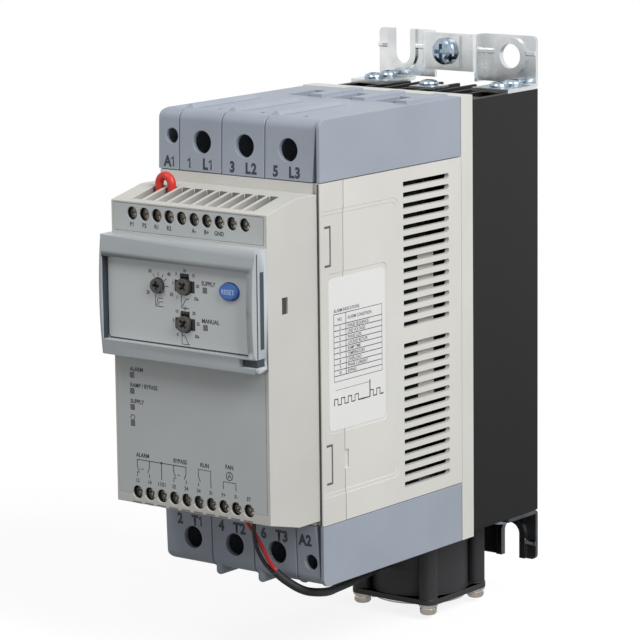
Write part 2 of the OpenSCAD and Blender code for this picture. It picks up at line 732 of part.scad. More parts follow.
// One setting dial with a cross recess in its face and a stem behind it.
module dial(at, d) {
    front_y = panel_y - dial_proud;
    slot_l = d * 0.62;
    slot_t = 1.1;
    slot_d = 1;
    place() translate([at[0], 0, at[1]]) difference() {
        union() {
            rod_y(0, 0, [front_y, front_y + dial_head_t], d);
            rod_y(0, 0, [front_y + dial_head_t - 0.1, stem_end_y], dial_stem_d);
            children();
        }
        for (a = [0, 90]) rotate([0, a, 0])
            box([-slot_l / 2, slot_l / 2], [front_y - cut, front_y + slot_d], [-slot_t / 2, slot_t / 2]);
    }
}

module current_dial() {
    front_y = panel_y - dial_proud;
    color("#5d5b58") dial(current_at, current_dial_d)
        along_y([front_y + 0.3, panel_y - run_gap]) polygon([[1.75, -1.85], [3.2, -2.4], [2.55, -0.9]]);
}

module ramp_up_dial() {
    color("#5d5b58") dial(ramp_up_at, ramp_dial_d);
}

module ramp_down_dial() {
    color("#5d5b58") dial(ramp_down_at, ramp_dial_d);
}

// Blue oval push button with a retaining flange and a stem.
module reset_button() {
    front_y = panel_y - button_proud;
    flange_y = ledge_y + run_gap;
    edge = 0.3;
    color("#3a67b8") place() translate([button_at[0], 0, button_at[1]]) {
        along_y([front_y, front_y + edge]) polygon(ellipse(button_w - 2 * edge, button_h - 2 * edge));
        along_y([front_y + edge, flange_y + button_flange_t / 2]) polygon(ellipse(button_w, button_h));
        along_y([flange_y, flange_y + button_flange_t]) polygon(ellipse(button_w + 2 * button_flange, button_h + 2 * button_flange));
        rod_y(0, 0, [flange_y + button_flange_t / 2, control_board_y - switch_d - button_travel - button_gap], dial_stem_d);
    }
}

// Square light pipes from the control board to the panels.
module status_lamps() {
    w = lamp_w / 2;
    color("#6b6f70") place() {
        for (p = panel_lamps) box([p[0] - w, p[0] + w], [panel_y, control_board_y], [p[1] - w, p[1] + w]);
        for (p = legend_lamps) box([p[0] - w, p[0] + w], [face_y, control_board_y], [p[1] - w, p[1] + w]);
    }
}

// Metal cages of one row of control terminals.
module terminal_cages() {
    screw_z = module_mid + terminal_rise;
    for (x = terminal_xs) difference() {
        box([x - cage_w / 2, x + cage_w / 2], cage_y, [screw_z - cage_h / 2, screw_z + cage_h / 2]);
        box([x - cage_w / 2 + 0.7, x + cage_w / 2 - 0.7], [cage_y[0] + 2, cage_y[1] - 1],
            [screw_z - cage_h / 2 + 0.8, screw_z + cage_h / 2 + cut]);
        rod_y(x, screw_z, [cage_y[0] - cut, cage_y[0] + 3], terminal_shank_d + 2 * shaft_fit);
    }
}

module terminal_screws() {
    screw_z = module_mid + terminal_rise;
    slot_t = 0.7;
    slot_d = 0.8;
    for (x = terminal_xs) difference() {
        union() {
            rod_y(x, screw_z, terminal_head_y, terminal_head_d);
            rod_y(x, screw_z, [terminal_head_y[1] - 0.1, cage_y[0] + 2.9], terminal_shank_d);
        }
        for (a = [20, 110]) translate([x, 0, screw_z]) rotate([0, a + 15 * x, 0])
            box([-terminal_d, terminal_d], [terminal_head_y[0] - cut, terminal_head_y[0] + slot_d], [-slot_t / 2, slot_t / 2]);
    }
}

module upper_terminal_cages() {
    color("#b9b08f") place() terminal_cages();
}

module lower_terminal_cages() {
    color("#b9b08f") place() module_mirrored() terminal_cages();
}

module upper_terminal_screws() {
    color("#9c948a") place() terminal_screws();
}

module lower_terminal_screws() {
    color("#9c948a") place() module_mirrored() terminal_screws();
}

// Circuit board of the control module.
module control_board() {
    x = module_x - module_wall - fit;
    h = terminal_rise - 7 - fit;
    color("#2f6b45") place() box([-x, x], [control_board_y, control_board_y + board_t], [module_mid - h, module_mid + h]);
}

// Potentiometer bodies behind the dials.
module dial_pots() {
    color("#33363a") place() for (p = [current_at, ramp_up_at, ramp_down_at]) difference() {
        box([p[0] - pot_w / 2, p[0] + pot_w / 2], [pot_front_y, control_board_y], [p[1] - pot_w / 2, p[1] + pot_w / 2]);
        rod_y(p[0], p[1], [pot_front_y - cut, stem_end_y + run_gap], dial_stem_d + 2 * shaft_fit);
    }
}

module reset_switch() {
    w = switch_w / 2;
    color("#2b2b2d") place() translate([button_at[0], 0, button_at[1]])
        box([-w, w], [control_board_y - switch_d, control_board_y], [-w, w]);
}

// Board that joins the control board to the power board.
module riser_board() {
    x = 20;
    color("#2f6b45") place() box([-x, x], [control_board_y + board_t, power_board_y],
        [body_h / 2 - board_t / 2, body_h / 2 + board_t / 2]);
}

module power_board() {
    x = half_w - wall - seam;
    color("#2f6b45") place() box([-x, x], [power_board_y, power_board_y + board_t], [low_z + wall + seam, high_z - wall - seam]);
}

// Relays that carry the motor current once it runs.
module bypass_relays() {
    x1 = half_w - wall - rail_w - 2 * fit;
    y = [power_board_y + board_t, power_board_y + board_t + relay_d];
    mid = body_h / 2;
    color("#e4e3df") place() {
        box([x1 - relay_w, x1], y, [mid + relay_gap / 2, mid + relay_gap / 2 + relay_h]);
        box([x1 - relay_w, x1], y, [mid - relay_gap / 2 - relay_h, mid - relay_gap / 2]);
        box([-x1, -x1 + relay_w], y, [mid - relay_h / 2, mid + relay_h / 2]);
    }
}

// Power semiconductors on the heatsink's base plate.
module thyristor_modules() {
    color("#3b3b3f") place() for (i = [-1:1])
        box([i * pole_pitch - scr_w / 2, i * pole_pitch + scr_w / 2], [scr_y, scr_y + scr_d], [scr_z, scr_z + scr_h]);
}

module thermal_pads() {
    color("#c9ccd0") place() for (i = [-1:1])
        box([i * pole_pitch - scr_w / 2, i * pole_pitch + scr_w / 2], [body_d - pad_t, body_d], [scr_z, scr_z + scr_h]);
}

// Copper bars of the line side, from the clamps down to the power semiconductors.
module power_bars(xs) {
    for (x = xs) box([x - bar_w / 2, x + bar_w / 2], [bar_y, bar_y + bar_t], [scr_z + scr_h, high_z + clamp_h]);
}

module line_busbars() {
    color("#b87a4b") place() power_bars(pole_xs);
}

module load_busbars() {
    color("#b87a4b") place() turned() power_bars(load_xs);
}

// Box clamps of the line side, open above for the cable.
module power_clamps(xs, drop) {
    y = [clamp_y0, clamp_y0 + clamp_d];
    for (x = xs) difference() {
        box([x - clamp_w / 2, x + clamp_w / 2], y, [high_z, high_z + clamp_h]);
        box([x - bar_w / 2 - fit, x + bar_w / 2 + fit], [y[0] + clamp_wall, y[1] - clamp_wall],
            [high_z - cut, high_z + clamp_h + cut]);
        rod_y(x, body_h - cover_h + pole_z + drop, [y[0] - cut, y[0] + clamp_wall + cut], clamp_screw_d + 2 * shaft_fit);
    }
}

// Clamp screws over the poles xs, each with a slotted head.
module power_clamp_screws(xs, drop) {
    z = body_h - cover_h + pole_z + drop;
    head_y = clamp_y0 - clamp_head_t - 2;
    slot_t = 1.2;
    for (x = xs) difference() {
        union() {
            rod_y(x, z, [head_y, head_y + clamp_head_t], clamp_head_d);
            rod_y(x, z, [head_y + clamp_head_t - 0.1, clamp_y0 + clamp_wall + 1.5], clamp_screw_d);
        }
        box([x - clamp_head_d, x + clamp_head_d], [head_y - cut, head_y + 1.5], [z - slot_t / 2, z + slot_t / 2]);
    }
}

module line_clamps() {
    color("#b5b3ad") place() power_clamps(pole_xs, 0);
}

module load_clamps() {
    color("#b5b3ad") place() turned() power_clamps(load_xs, load_drop);
}

module line_clamp_screws() {
    color("#8e8c88") place() power_clamp_screws(pole_xs, 0);
}

module load_clamp_screws() {
    color("#8e8c88") place() turned() power_clamp_screws(load_xs, load_drop);
}

// Small clamp of one supply terminal.
module supply_clamp(drop) {
    z = body_h - cover_h + supply_z + drop;
    w = supply_clamp_w / 2;
    difference() {
        box([-supply_x - w, -supply_x + w], supply_clamp_y, [high_z, z + w]);
        rod_y(-supply_x, z, [supply_clamp_y[0] - cut, supply_clamp_y[1] - 2], supply_screw_d + 2 * shaft_fit);
    }
}

module supply_clamp_screw(drop) {
    z = body_h - cover_h + supply_z + drop;
    y0 = supply_clamp_y[0] - 3.5;
    slot_t = 0.9;
    difference() {
        union() {
            rod_y(-supply_x, z, [y0, y0 + 2.5], supply_head_d);
            rod_y(-supply_x, z, [y0 + 2.4, supply_clamp_y[1] - 4], supply_screw_d);
        }
        for (a = [30, 120]) translate([-supply_x, 0, z]) rotate([0, a, 0])
            box([-supply_head_d, supply_head_d], [y0 - cut, y0 + 1], [-slot_t / 2, slot_t / 2]);
    }
}

module supply_clamps() {
    color("#b5b3ad") place() {
        supply_clamp(0);
        turned() supply_clamp(load_drop);
    }
}

module supply_clamp_screws() {
    color("#8e8c88") place() {
        supply_clamp_screw(0);
        turned() supply_clamp_screw(load_drop);
    }
}

// Current transformers around the load bars, resting on the lower shelf.
module current_transformers() {
    mid_y = bar_y + bar_t / 2;
    z = [low_z + wall, low_z + wall + transformer_h];
    color("#36507a") place() for (x = load_xs) difference() {
        rod_z(-x, mid_y, z, transformer_w);
        bar_hole(-x, [z[0] - cut, z[1] + cut]);
    }
}

// Flat outline of a bracket plate with one fixing, z measured from the heatsink's end.
module bracket_holes(y) {
    rod_y(fixing_x, fixing_z, y, fixing_d);
    open_slot(y, slot_w, -fixing_x);
}

// Fixing slot that is open at the plate's free edge.
module open_slot(y, w, x) {
    rod_y(x, slot_z, y, w);
    box([x - w / 2, x + w / 2], y, [slot_z, bracket_h + cut]);
}

// Foot of a bracket, bent over the heatsink's end.
module bracket_foot(s) {
    x = s > 0 ? [foot_x, half_w] : [-half_w, -foot_x];
    outline = concat([[rear_y - foot_d, 0]], [[rear_y - bend_r, 0]], arc([rear_y - bend_r, bend_r], bend_r, -90, 0, 6),
        [[rear_y, bend_r + cut], [rear_y - sheet_t, bend_r + cut]],
        arc([rear_y - bend_r, bend_r], bend_r - sheet_t, 0, -90, 6), [[rear_y - foot_d, sheet_t]]);
    difference() {
        along_x(x) polygon(outline);
        for (y = port_ys) rod_z(s * port_x, y, [-cut, sheet_t + cut], bracket_screw_d + 2 * shaft_fit);
    }
}

// Horizontal stiffening beads pressed into the plate between x limits.
module bracket_bead(x) {
    along_x(x) polygon([[rear_y - sheet_t, bead_z - bead_h / 2], [rear_y - sheet_t - bead_t, bead_z - bead_h / 4],
        [rear_y - sheet_t - bead_t, bead_z + bead_h / 4], [rear_y - sheet_t, bead_z + bead_h / 2]]);
}

// Zinc-plated upper bracket: an open slot, a collared hole and an earth plate stepped forward.
module upper_bracket() {
    plate_y = [rear_y - sheet_t, rear_y];
    collar_y = [rear_y - sheet_t - collar_t, rear_y - sheet_t];
    earth_y = [rear_y - sheet_t - earth_step, rear_y - earth_step];
    hole_y = [rear_y - sheet_t - collar_t - cut, rear_y + cut];
    color("#c9ccce") place() translate([0, 0, sink_z1]) {
        difference() {
            union() {
                along_y(plate_y) polygon(round_box([-half_w, earth_x0 + sheet_t], [bend_r, bracket_h], corner_r));
                along_y(plate_y) polygon(round_box([earth_x1 - sheet_t, half_w], [bend_r, bracket_h], corner_r));
                for (x = [[-half_w, earth_x0 + sheet_t], [earth_x1 - sheet_t, half_w]])
                    box(x, plate_y, [bend_r, bend_r + corner_r]);
                rod_y(fixing_x, fixing_z, collar_y, fixing_d + 2 * collar_w);
                intersection() {
                    open_slot(collar_y, slot_w + 2 * collar_w, -fixing_x);
                    box([-half_w, 0], collar_y, [0, bracket_h]);
                }
                for (x = [[-half_w, -fixing_x - slot_w / 2 - collar_w], [-fixing_x + slot_w / 2 + collar_w, earth_x0],
                    [earth_x1, fixing_x - fixing_d / 2 - collar_w], [fixing_x + fixing_d / 2 + collar_w, half_w]])
                    bracket_bead(x);
            }
            bracket_holes(hole_y);
            for (x = [[-half_w - cut, -foot_x], [foot_x, half_w + cut]])
                box(x, hole_y, [-cut, bend_r]);
        }
        difference() {
            union() {
                translate([0, 0, earth_window_h]) linear_extrude(bracket_h - earth_window_h) polygon(earth_profile());
                box([earth_x1 - sheet_t, earth_x1], [earth_y[0] + earth_r, rear_y - sheet_t / 2], [bend_r, earth_window_h + cut]);
            }
            rod_y(earth_at[0], earth_at[1], [earth_y[0] - cut, earth_y[1] + cut], earth_shank_d() + 2 * shaft_fit);
        }
        for (s = [-1, 1]) bracket_foot(s);
    }
}

// Plan outline of the stepped earth plate with its bends.
function earth_profile() = let (y = rear_y - sheet_t - earth_step + earth_r, t = sheet_t, end = rear_y - t / 2) concat(
    [[earth_x0, end]], arc([earth_x0 + earth_r, y], earth_r, 180, 270, 5),
    arc([earth_x1 - earth_r, y], earth_r, 270, 360, 5), [[earth_x1, end], [earth_x1 - t, end]],
    arc([earth_x1 - earth_r, y], earth_r - t, 360, 270, 5), arc([earth_x0 + earth_r, y], earth_r - t, 270, 180, 5),
    [[earth_x0 + t, end]]);

function earth_shank_d() = bracket_screw_d + 1;

// Zinc-plated lower bracket with an open slot on each side, cut away in the middle.
module lower_bracket() {
    plate_y = [rear_y - sheet_t, rear_y];
    collar_y = [rear_y - sheet_t - collar_t, rear_y - sheet_t];
    hole_y = [rear_y - sheet_t - collar_t - cut, rear_y + cut];
    strip_h = 8;
    opening_x = 12;
    color("#c9ccce") place() translate([0, 0, sink_z0]) mirror([0, 0, 1]) {
        difference() {
            union() {
                along_y(plate_y) polygon(round_box([-half_w, half_w], [bend_r, bracket_h], corner_r));
                for (s = [-1, 1]) box(s > 0 ? [foot_x, half_w] : [-half_w, -foot_x], plate_y, [bend_r, bend_r + corner_r]);
                for (s = [-1, 1]) intersection() {
                    open_slot(collar_y, slot_w + 2 * collar_w, s * fixing_x);
                    box([-half_w, half_w], collar_y, [0, bracket_h]);
                }
                for (x = [[-half_w, -fixing_x - slot_w / 2 - collar_w], [fixing_x + slot_w / 2 + collar_w, half_w]])
                    bracket_bead(x);
            }
            for (s = [-1, 1]) open_slot(hole_y, slot_w, s * fixing_x);
            box([-opening_x, opening_x], hole_y, [strip_h, bracket_h + cut]);
        }
        for (s = [-1, 1]) bracket_foot(s);
    }
}

// Cross-recessed pan head screw standing on z = 0, its shank below.
module pan_screw(head_d, head_t, d, l) {
    slot_t = head_d * 0.15;
    difference() {
        union() {
            rotate_extrude() polygon([[0, 0], [head_d * 0.5, 0], [head_d * 0.5, head_t * 0.4], [head_d * 0.46, head_t * 0.68],
                [head_d * 0.38, head_t * 0.88], [head_d * 0.26, head_t], [0, head_t]]);
            translate([0, 0, -l]) cylinder(d = d, h = l + 0.1);
        }
        for (a = [0, 90]) rotate(a) box([-head_d * 0.3, head_d * 0.3], [-slot_t / 2, slot_t / 2], [head_t * 0.4, head_t + cut]);
    }
}

module foot_screws() {
    for (s = [-1, 1], y = port_ys) translate([s * port_x, y, sheet_t])
        rotate(20 * s + y) pan_screw(screw_head_d, screw_head_t, bracket_screw_d, screw_l);
}

module upper_bracket_screws() {
    color("#aab2b8") place() translate([0, 0, sink_z1]) foot_screws();
}

module lower_bracket_screws() {
    color("#aab2b8") place() translate([0, 0, sink_z0]) mirror([0, 0, 1]) foot_screws();
}

// Earth terminal screw and its square clamp washer on the stepped plate.
module earth_screw() {
    y = rear_y - sheet_t - earth_step - plate_washer_t;
    color("#aab2b8") place() translate([earth_at[0], y, sink_z1 + earth_at[1]])
        rotate([90, 0, 0]) pan_screw(earth_head_d, 3.4, earth_shank_d(), sheet_t + plate_washer_t + 3);
}

module earth_washer() {
    y = rear_y - sheet_t - earth_step;
    w = 13;
    h = 12.4;
    color("#c3c7c9") place() translate([earth_at[0], 0, sink_z1 + earth_at[1]]) difference() {
        box([-w / 2, w / 2], [y - plate_washer_t, y], [-h / 2, h / 2]);
        rod_y(0, 0, [y - plate_washer_t - cut, y + cut], earth_shank_d() + 2 * shaft_fit);
    }
}

// Screw and square washer in the heatsink's middle port.
module port_screw() {
    color("#aab2b8") place() translate([0, mid_port_y, sink_z1 + plate_washer_t])
        pan_screw(screw_head_d, screw_head_t, bracket_screw_d, screw_l);
}

module port_washer() {
    w = plate_washer_w / 2;
    color("#c3c7c9") place() translate([0, mid_port_y, sink_z1]) difference() {
        box([-w, w], [-w, w], [0, plate_washer_t]);
        rod_z(0, 0, [-cut, plate_washer_t + cut], bracket_screw_d + 2 * shaft_fit);
    }
}

// Places its children at the fan's four screw holes.
module at_fan_screws() {
    for (x = [-1, 1], y = [-1, 1]) translate([x * fan_pitch / 2, fan_y + y * fan_pitch / 2, 0]) children();
}

// Square of the fan with rounded corners.
module fan_square() {
    w = fan_w / 2;
    polygon(round_box([-w, w], [fan_y - w, fan_y + w], 4));
}

// Plate that carries the fan under the heatsink.
module fan_adapter() {
    y1 = rear_y - sheet_t - collar_t - 1;
    color("#26272a") place() difference() {
        union() {
            box([-adapter_x, adapter_x], [fan_y - fan_w / 2, y1], [adapter_z0, adapter_step_z]);
            box([-adapter_x, adapter_x], [body_d + seam, y1], [adapter_step_z - 0.1, sink_z0]);
        }
        rod_z(0, fan_y, [adapter_z0 - cut, sink_z0 + cut], fan_duct_d);
        at_fan_screws() rod_z(0, 0, [adapter_z0 - cut, sink_z0 + cut], fan_screw_d + 2 * shaft_fit);
    }
}

// Flat cuts of the fan: the duct and the four screw holes.
module fan_cuts() {
    translate([0, fan_y]) circle(d = fan_duct_d);
    at_fan_screws() circle(d = fan_hole_d);
}

// Black fan frame: two flanges, a round duct, corner posts and a spoked hub plate with the bearing tube.
module fan_frame() {
    duct_wall = 1;
    post_d = 7.4;
    spoke_l = fan_duct_d + duct_wall;
    top_z = fan_z1 - hub_plate_t;
    color("#222325") place() {
        translate([0, 0, fan_z0]) linear_extrude(fan_foot_t) difference() {
            fan_square();
            fan_cuts();
        }
        translate([0, 0, fan_z0 + fan_foot_t]) linear_extrude(fan_h - flange_t - fan_foot_t) difference() {
            union() {
                translate([0, fan_y]) circle(d = fan_duct_d + 2 * duct_wall);
                at_fan_screws() circle(d = post_d);
            }
            fan_cuts();
        }
        translate([0, 0, fan_z1 - flange_t]) linear_extrude(flange_t - hub_plate_t) difference() {
            fan_square();
            fan_cuts();
        }
        translate([0, 0, top_z]) linear_extrude(hub_plate_t) union() {
            difference() {
                fan_square();
                fan_cuts();
            }
            translate([0, fan_y]) circle(d = fan_hub_d);
            for (a = [45, 135]) translate([0, fan_y]) rotate(a) square([spoke_l, spoke_w], center = true);
        }
        translate([0, fan_y, tube_z0]) linear_extrude(top_z - tube_z0) difference() {
            circle(d = tube_d);
            circle(d = bearing_d);
        }
    }
}

// Wound stator around the bearing tube.
module fan_stator() {
    z = [tube_z0 + 3, rotor_z1 - 2];
    color("#8a5a3a") place() difference() {
        rod_z(0, fan_y, z, stator_d);
        rod_z(0, fan_y, [z[0] - cut, z[1] + cut], tube_d);
    }
}

module fan_bearings() {
    color("#a8abad") place() for (z = [tube_z0, fan_z1 - hub_plate_t - bearing_t]) difference() {
        rod_z(0, fan_y, [z, z + bearing_t], bearing_d);
        rod_z(0, fan_y, [z - cut, z + bearing_t + cut], fan_shaft_d + 2 * shaft_fit);
    }
}

// Fan rotor: a cup-shaped hub with slanted blades.
module fan_rotor() {
    blade_r = fan_duct_d / 2 - run_gap - 0.2;
    color("#26272a") place() translate([0, fan_y, 0]) difference() {
        union() {
            rod_z(0, 0, [rotor_z0, rotor_z1], fan_hub_d);
            for (i = [0:blade_n - 1]) rotate(360 * i / blade_n) intersection() {
                translate([0, 0, (rotor_z0 + rotor_z1) / 2]) rotate([blade_tilt, 0, 0])
                    box([fan_hub_d / 2 - 1, blade_r + cut], [-20, 20], [-blade_t / 2, blade_t / 2]);
                rod_z(0, 0, [rotor_z0 + 1, rotor_z1 - 1], 2 * blade_r);
            }
        }
        rod_z(0, 0, [rotor_z0 + 2, rotor_z1 + cut], fan_hub_d - 2 * rotor_wall);
        rod_z(0, 0, [rotor_z0 + 0.6, rotor_z0 + 2 + cut], fan_shaft_d);
    }
}

module fan_shaft() {
    color("#a8abad") place() rod_z(0, fan_y, [rotor_z0 + 0.6, fan_z1 - hub_plate_t - 1], fan_shaft_d);
}

// Wire finger guard under the fan.
module fan_guard() {
    spoke_z = guard_z - guard_wire_d * 0.8;
    color("#b9bcbe") place() {
        for (r = guard_rs) translate([0, fan_y, guard_z]) rotate_extrude() translate([r, 0]) circle(d = guard_wire_d);
        for (a = [45, 135]) translate([0, fan_y, spoke_z]) rotate(a) rotate([0, 90, 0])
            cylinder(d = guard_wire_d, h = fan_pitch * sqrt(2) - fan_head_d, center = true);
    }
}

// Four long screws with washers that hold the fan.
module fan_screws() {
    color("#b9b4a8") place() at_fan_screws() {
        rod_z(0, 0, [fan_z0 - fan_washer_t, fan_z0], fan_head_d);
        rod_z(0, 0, [fan_z0 - fan_washer_t - 0.1, adapter_step_z], fan_screw_d);
        rod_z(0, 0, [fan_z0 - fan_washer_t - fan_spring_t, fan_z0 - fan_washer_t + 0.1], fan_head_d * 0.82);
        translate([0, 0, fan_z0 - fan_washer_t - fan_spring_t]) mirror([0, 0, 1]) difference() {
            rotate_extrude() polygon([[0, -0.1], [fan_head_d * 0.45, -0.1], [fan_head_d * 0.45, fan_head_t * 0.6],
                [fan_head_d * 0.38, fan_head_t * 0.9], [fan_head_d * 0.3, fan_head_t], [0, fan_head_t]]);
            for (a = [10, 100]) rotate(a) box([-2, 2], [-0.4, 0.4], [fan_head_t * 0.4, fan_head_t + cut]);
        }
    }
}

// Red wire link between the first two upper terminals.
module jumper_wire() {
    x = [terminal_xs[0], terminal_xs[1]];
    y = funnel_y - jumper_d / 2 - fit;
    top_z = module_top + 0.9;
    color("#d23b32") place() {
        for (e = x) rod_z(e, y, [face_z1 - 0.8, top_z], jumper_d);
        translate([(x[0] + x[1]) / 2, y, top_z]) rotate([90, 0, 0])
            rotate_extrude(angle = 180) translate([terminal_pitch / 2, 0]) circle(d = jumper_d);
    }
}

module fan_lead_red() {
    color("#c22f2b") place() tube(red_route, lead_d, [1, 0, 0]);
}

module fan_lead_black() {
    color("#1c1c1e") place() tube(black_route, lead_d, [1, 0, 0]);
}

module fan_lead_sleeve() {
    color("#1c1c1e") place() tube(sleeve_route, sleeve_d, [0, 0, 1]);
}

heatsink();
main_housing();
front_frame();
line_terminal_cover();
load_terminal_cover();
control_housing();
front_bezel();
settings_panel();
upper_legend_panel();
lower_legend_panel();
current_dial();
ramp_up_dial();
ramp_down_dial();
reset_button();
status_lamps();
upper_terminal_cages();
lower_terminal_cages();
upper_terminal_screws();
lower_terminal_screws();
control_board();
dial_pots();
reset_switch();
riser_board();
power_board();
bypass_relays();
thyristor_modules();
thermal_pads();
line_busbars();
load_busbars();
line_clamps();
load_clamps();
line_clamp_screws();
load_clamp_screws();
supply_clamps();
supply_clamp_screws();
current_transformers();
upper_bracket();
lower_bracket();
upper_bracket_screws();
lower_bracket_screws();
earth_screw();
earth_washer();
port_screw();
port_washer();
fan_adapter();
fan_frame();
fan_stator();
fan_bearings();
fan_rotor();
fan_shaft();
fan_guard();
fan_screws();
jumper_wire();
fan_lead_red();
fan_lead_black();
fan_lead_sleeve();
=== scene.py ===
"""Looks of a panel-mounted motor soft starter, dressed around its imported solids."""

import json
import math

import bpy
from mathutils import Matrix, Vector


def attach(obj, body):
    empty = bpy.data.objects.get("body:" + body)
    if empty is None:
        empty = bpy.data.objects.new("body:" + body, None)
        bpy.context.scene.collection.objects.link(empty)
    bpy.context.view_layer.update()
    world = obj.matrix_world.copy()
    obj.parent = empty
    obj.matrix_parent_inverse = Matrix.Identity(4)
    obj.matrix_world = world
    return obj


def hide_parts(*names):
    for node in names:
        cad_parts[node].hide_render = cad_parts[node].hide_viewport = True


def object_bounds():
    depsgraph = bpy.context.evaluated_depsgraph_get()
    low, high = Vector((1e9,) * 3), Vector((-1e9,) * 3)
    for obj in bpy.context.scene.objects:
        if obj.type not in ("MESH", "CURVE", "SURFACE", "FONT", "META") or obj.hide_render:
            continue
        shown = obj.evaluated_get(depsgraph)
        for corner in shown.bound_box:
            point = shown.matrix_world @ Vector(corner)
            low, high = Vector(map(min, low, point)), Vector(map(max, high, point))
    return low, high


MM = 0.001
IMAGE_PX = 640

# The housing's depth with its heatsink and half its height, in mm.
REAR_Y = 138.5
HALF_H = 85.5

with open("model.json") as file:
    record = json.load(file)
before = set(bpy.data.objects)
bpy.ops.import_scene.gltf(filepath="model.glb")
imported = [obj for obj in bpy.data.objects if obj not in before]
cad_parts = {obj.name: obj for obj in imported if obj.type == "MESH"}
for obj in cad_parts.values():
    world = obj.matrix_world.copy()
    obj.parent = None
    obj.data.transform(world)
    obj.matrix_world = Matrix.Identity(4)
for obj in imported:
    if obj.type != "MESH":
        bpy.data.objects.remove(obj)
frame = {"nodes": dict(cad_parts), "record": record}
cad_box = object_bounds()
nodes = frame["nodes"]


def at(x, y, z):
    """A point given in mm from the housing's front lower edge, in the part's frame."""
    return Vector((x * MM, (y - REAR_Y) * MM, (z - HALF_H) * MM))


# Colours and materials


def linear(code):
    """An sRGB hex colour as linear RGBA."""
    values = [int(code[i:i + 2], 16) / 255 for i in (1, 3, 5)]
    return [v / 12.92 if v <= 0.04045 else ((v + 0.055) / 1.055) ** 2.4 for v in values] + [1.0]


def add(tree, kind, links=None, inputs=None, **settings):
    """Adds a node with its settings, its input values and the sockets that feed it."""
    node = tree.nodes.new(kind)
    for key, value in settings.items():
        setattr(node, key, value)
    for key, value in (inputs or {}).items():
        node.inputs[key].default_value = value
    for key, source in (links or {}).items():
        tree.links.new(source, node.inputs[key])
    return node


def start_material(name):
    """A new material with its node tree, its shader and its Object coordinates."""
    material = bpy.data.materials.new(name)
    material.use_nodes = True
    tree = material.node_tree
    shader = tree.nodes["Principled BSDF"]
    coords = add(tree, "ShaderNodeTexCoord").outputs["Object"]
    return material, tree, shader, coords


def two_tones(tree, factor, low, high, from_min=0.3, from_max=0.7):
    """A colour that runs from low to high with a factor."""
    spread = add(tree, "ShaderNodeMapRange", {"Value": factor},
                 {"From Min": from_min, "From Max": from_max})
    mix = add(tree, "ShaderNodeMix", {"Factor": spread.outputs["Result"]}, data_type="RGBA")
    mix.inputs["A"].default_value = linear(low)
    mix.inputs["B"].default_value = linear(high)
    return mix.outputs["Result"]


def stretched_noise(tree, coords, lengths_mm, detail):
    """Noise drawn out to a length in mm along each axis."""
    scale = [1 / (length * MM) for length in lengths_mm]
    stretch = add(tree, "ShaderNodeMapping", {"Vector": coords}, {"Scale": scale})
    noise = add(tree, "ShaderNodeTexNoise", {"Vector": stretch.outputs["Vector"]},
                {"Scale": 1.0, "Detail": detail})
    return noise.outputs["Fac"]


def moulded(name, low, high, roughness, grain_mm=0.6, grain=0.12, shine=0.5):
    """Injection-moulded plastic: an even colour with slight clouding and a fine spark-eroded grain."""
    material, tree, shader, coords = start_material(name)
    cloud_mm = 30
    cloud = add(tree, "ShaderNodeTexNoise", {"Vector": coords}, {"Scale": 1 / (cloud_mm * MM), "Detail": 3})
    tree.links.new(two_tones(tree, cloud.outputs["Fac"], low, high), shader.inputs["Base Color"])
    fine = add(tree, "ShaderNodeTexNoise", {"Vector": coords}, {"Scale": 1 / (grain_mm * MM), "Detail": 2})
    rough = add(tree, "ShaderNodeMapRange", {"Value": fine.outputs["Fac"]},
                {"To Min": roughness - 0.06, "To Max": roughness + 0.06})
    tree.links.new(rough.outputs["Result"], shader.inputs["Roughness"])
    bump = add(tree, "ShaderNodeBump", {"Height": fine.outputs["Fac"]},
               {"Strength": grain, "Distance": 0.05 * MM})
    tree.links.new(bump.outputs["Normal"], shader.inputs["Normal"])
    shader.inputs["IOR"].default_value = 1.5
    shader.inputs["Specular IOR Level"].default_value = shine
    return material


def plated(name, low, high, roughness, patch_mm, scratch=0.1, metal=1.0):
    """Plated metal: bright, with faint patches of the plating and fine handling marks."""
    material, tree, shader, coords = start_material(name)
    patch = add(tree, "ShaderNodeTexNoise", {"Vector": coords}, {"Scale": 1 / (patch_mm * MM), "Detail": 4})
    tree.links.new(two_tones(tree, patch.outputs["Fac"], low, high), shader.inputs["Base Color"])
    rough = add(tree, "ShaderNodeMapRange", {"Value": patch.outputs["Fac"]},
                {"To Min": roughness - 0.08, "To Max": roughness + 0.1})
    tree.links.new(rough.outputs["Result"], shader.inputs["Roughness"])
    marks = stretched_noise(tree, coords, (6, 0.5, 0.5), 2)
    bump = add(tree, "ShaderNodeBump", {"Height": marks}, {"Strength": scratch, "Distance": 0.03 * MM})
    tree.links.new(bump.outputs["Normal"], shader.inputs["Normal"])
    shader.inputs["Metallic"].default_value = metal
    return material


def anodised(name, low, high):
    """Black anodised extrusion: dark and satin, with die lines along its length."""
    material, tree, shader, coords = start_material(name)
    lines = stretched_noise(tree, coords, (0.9, 0.9, 120), 3)
    tree.links.new(two_tones(tree, lines, low, high), shader.inputs["Base Color"])
    rough = add(tree, "ShaderNodeMapRange", {"Value": lines}, {"To Min": 0.38, "To Max": 0.6})
    tree.links.new(rough.outputs["Result"], shader.inputs["Roughness"])
    bump = add(tree, "ShaderNodeBump", {"Height": lines}, {"Strength": 0.25, "Distance": 0.06 * MM})
    tree.links.new(bump.outputs["Normal"], shader.inputs["Normal"])
    shader.inputs["Specular IOR Level"].default_value = 0.25
    return material


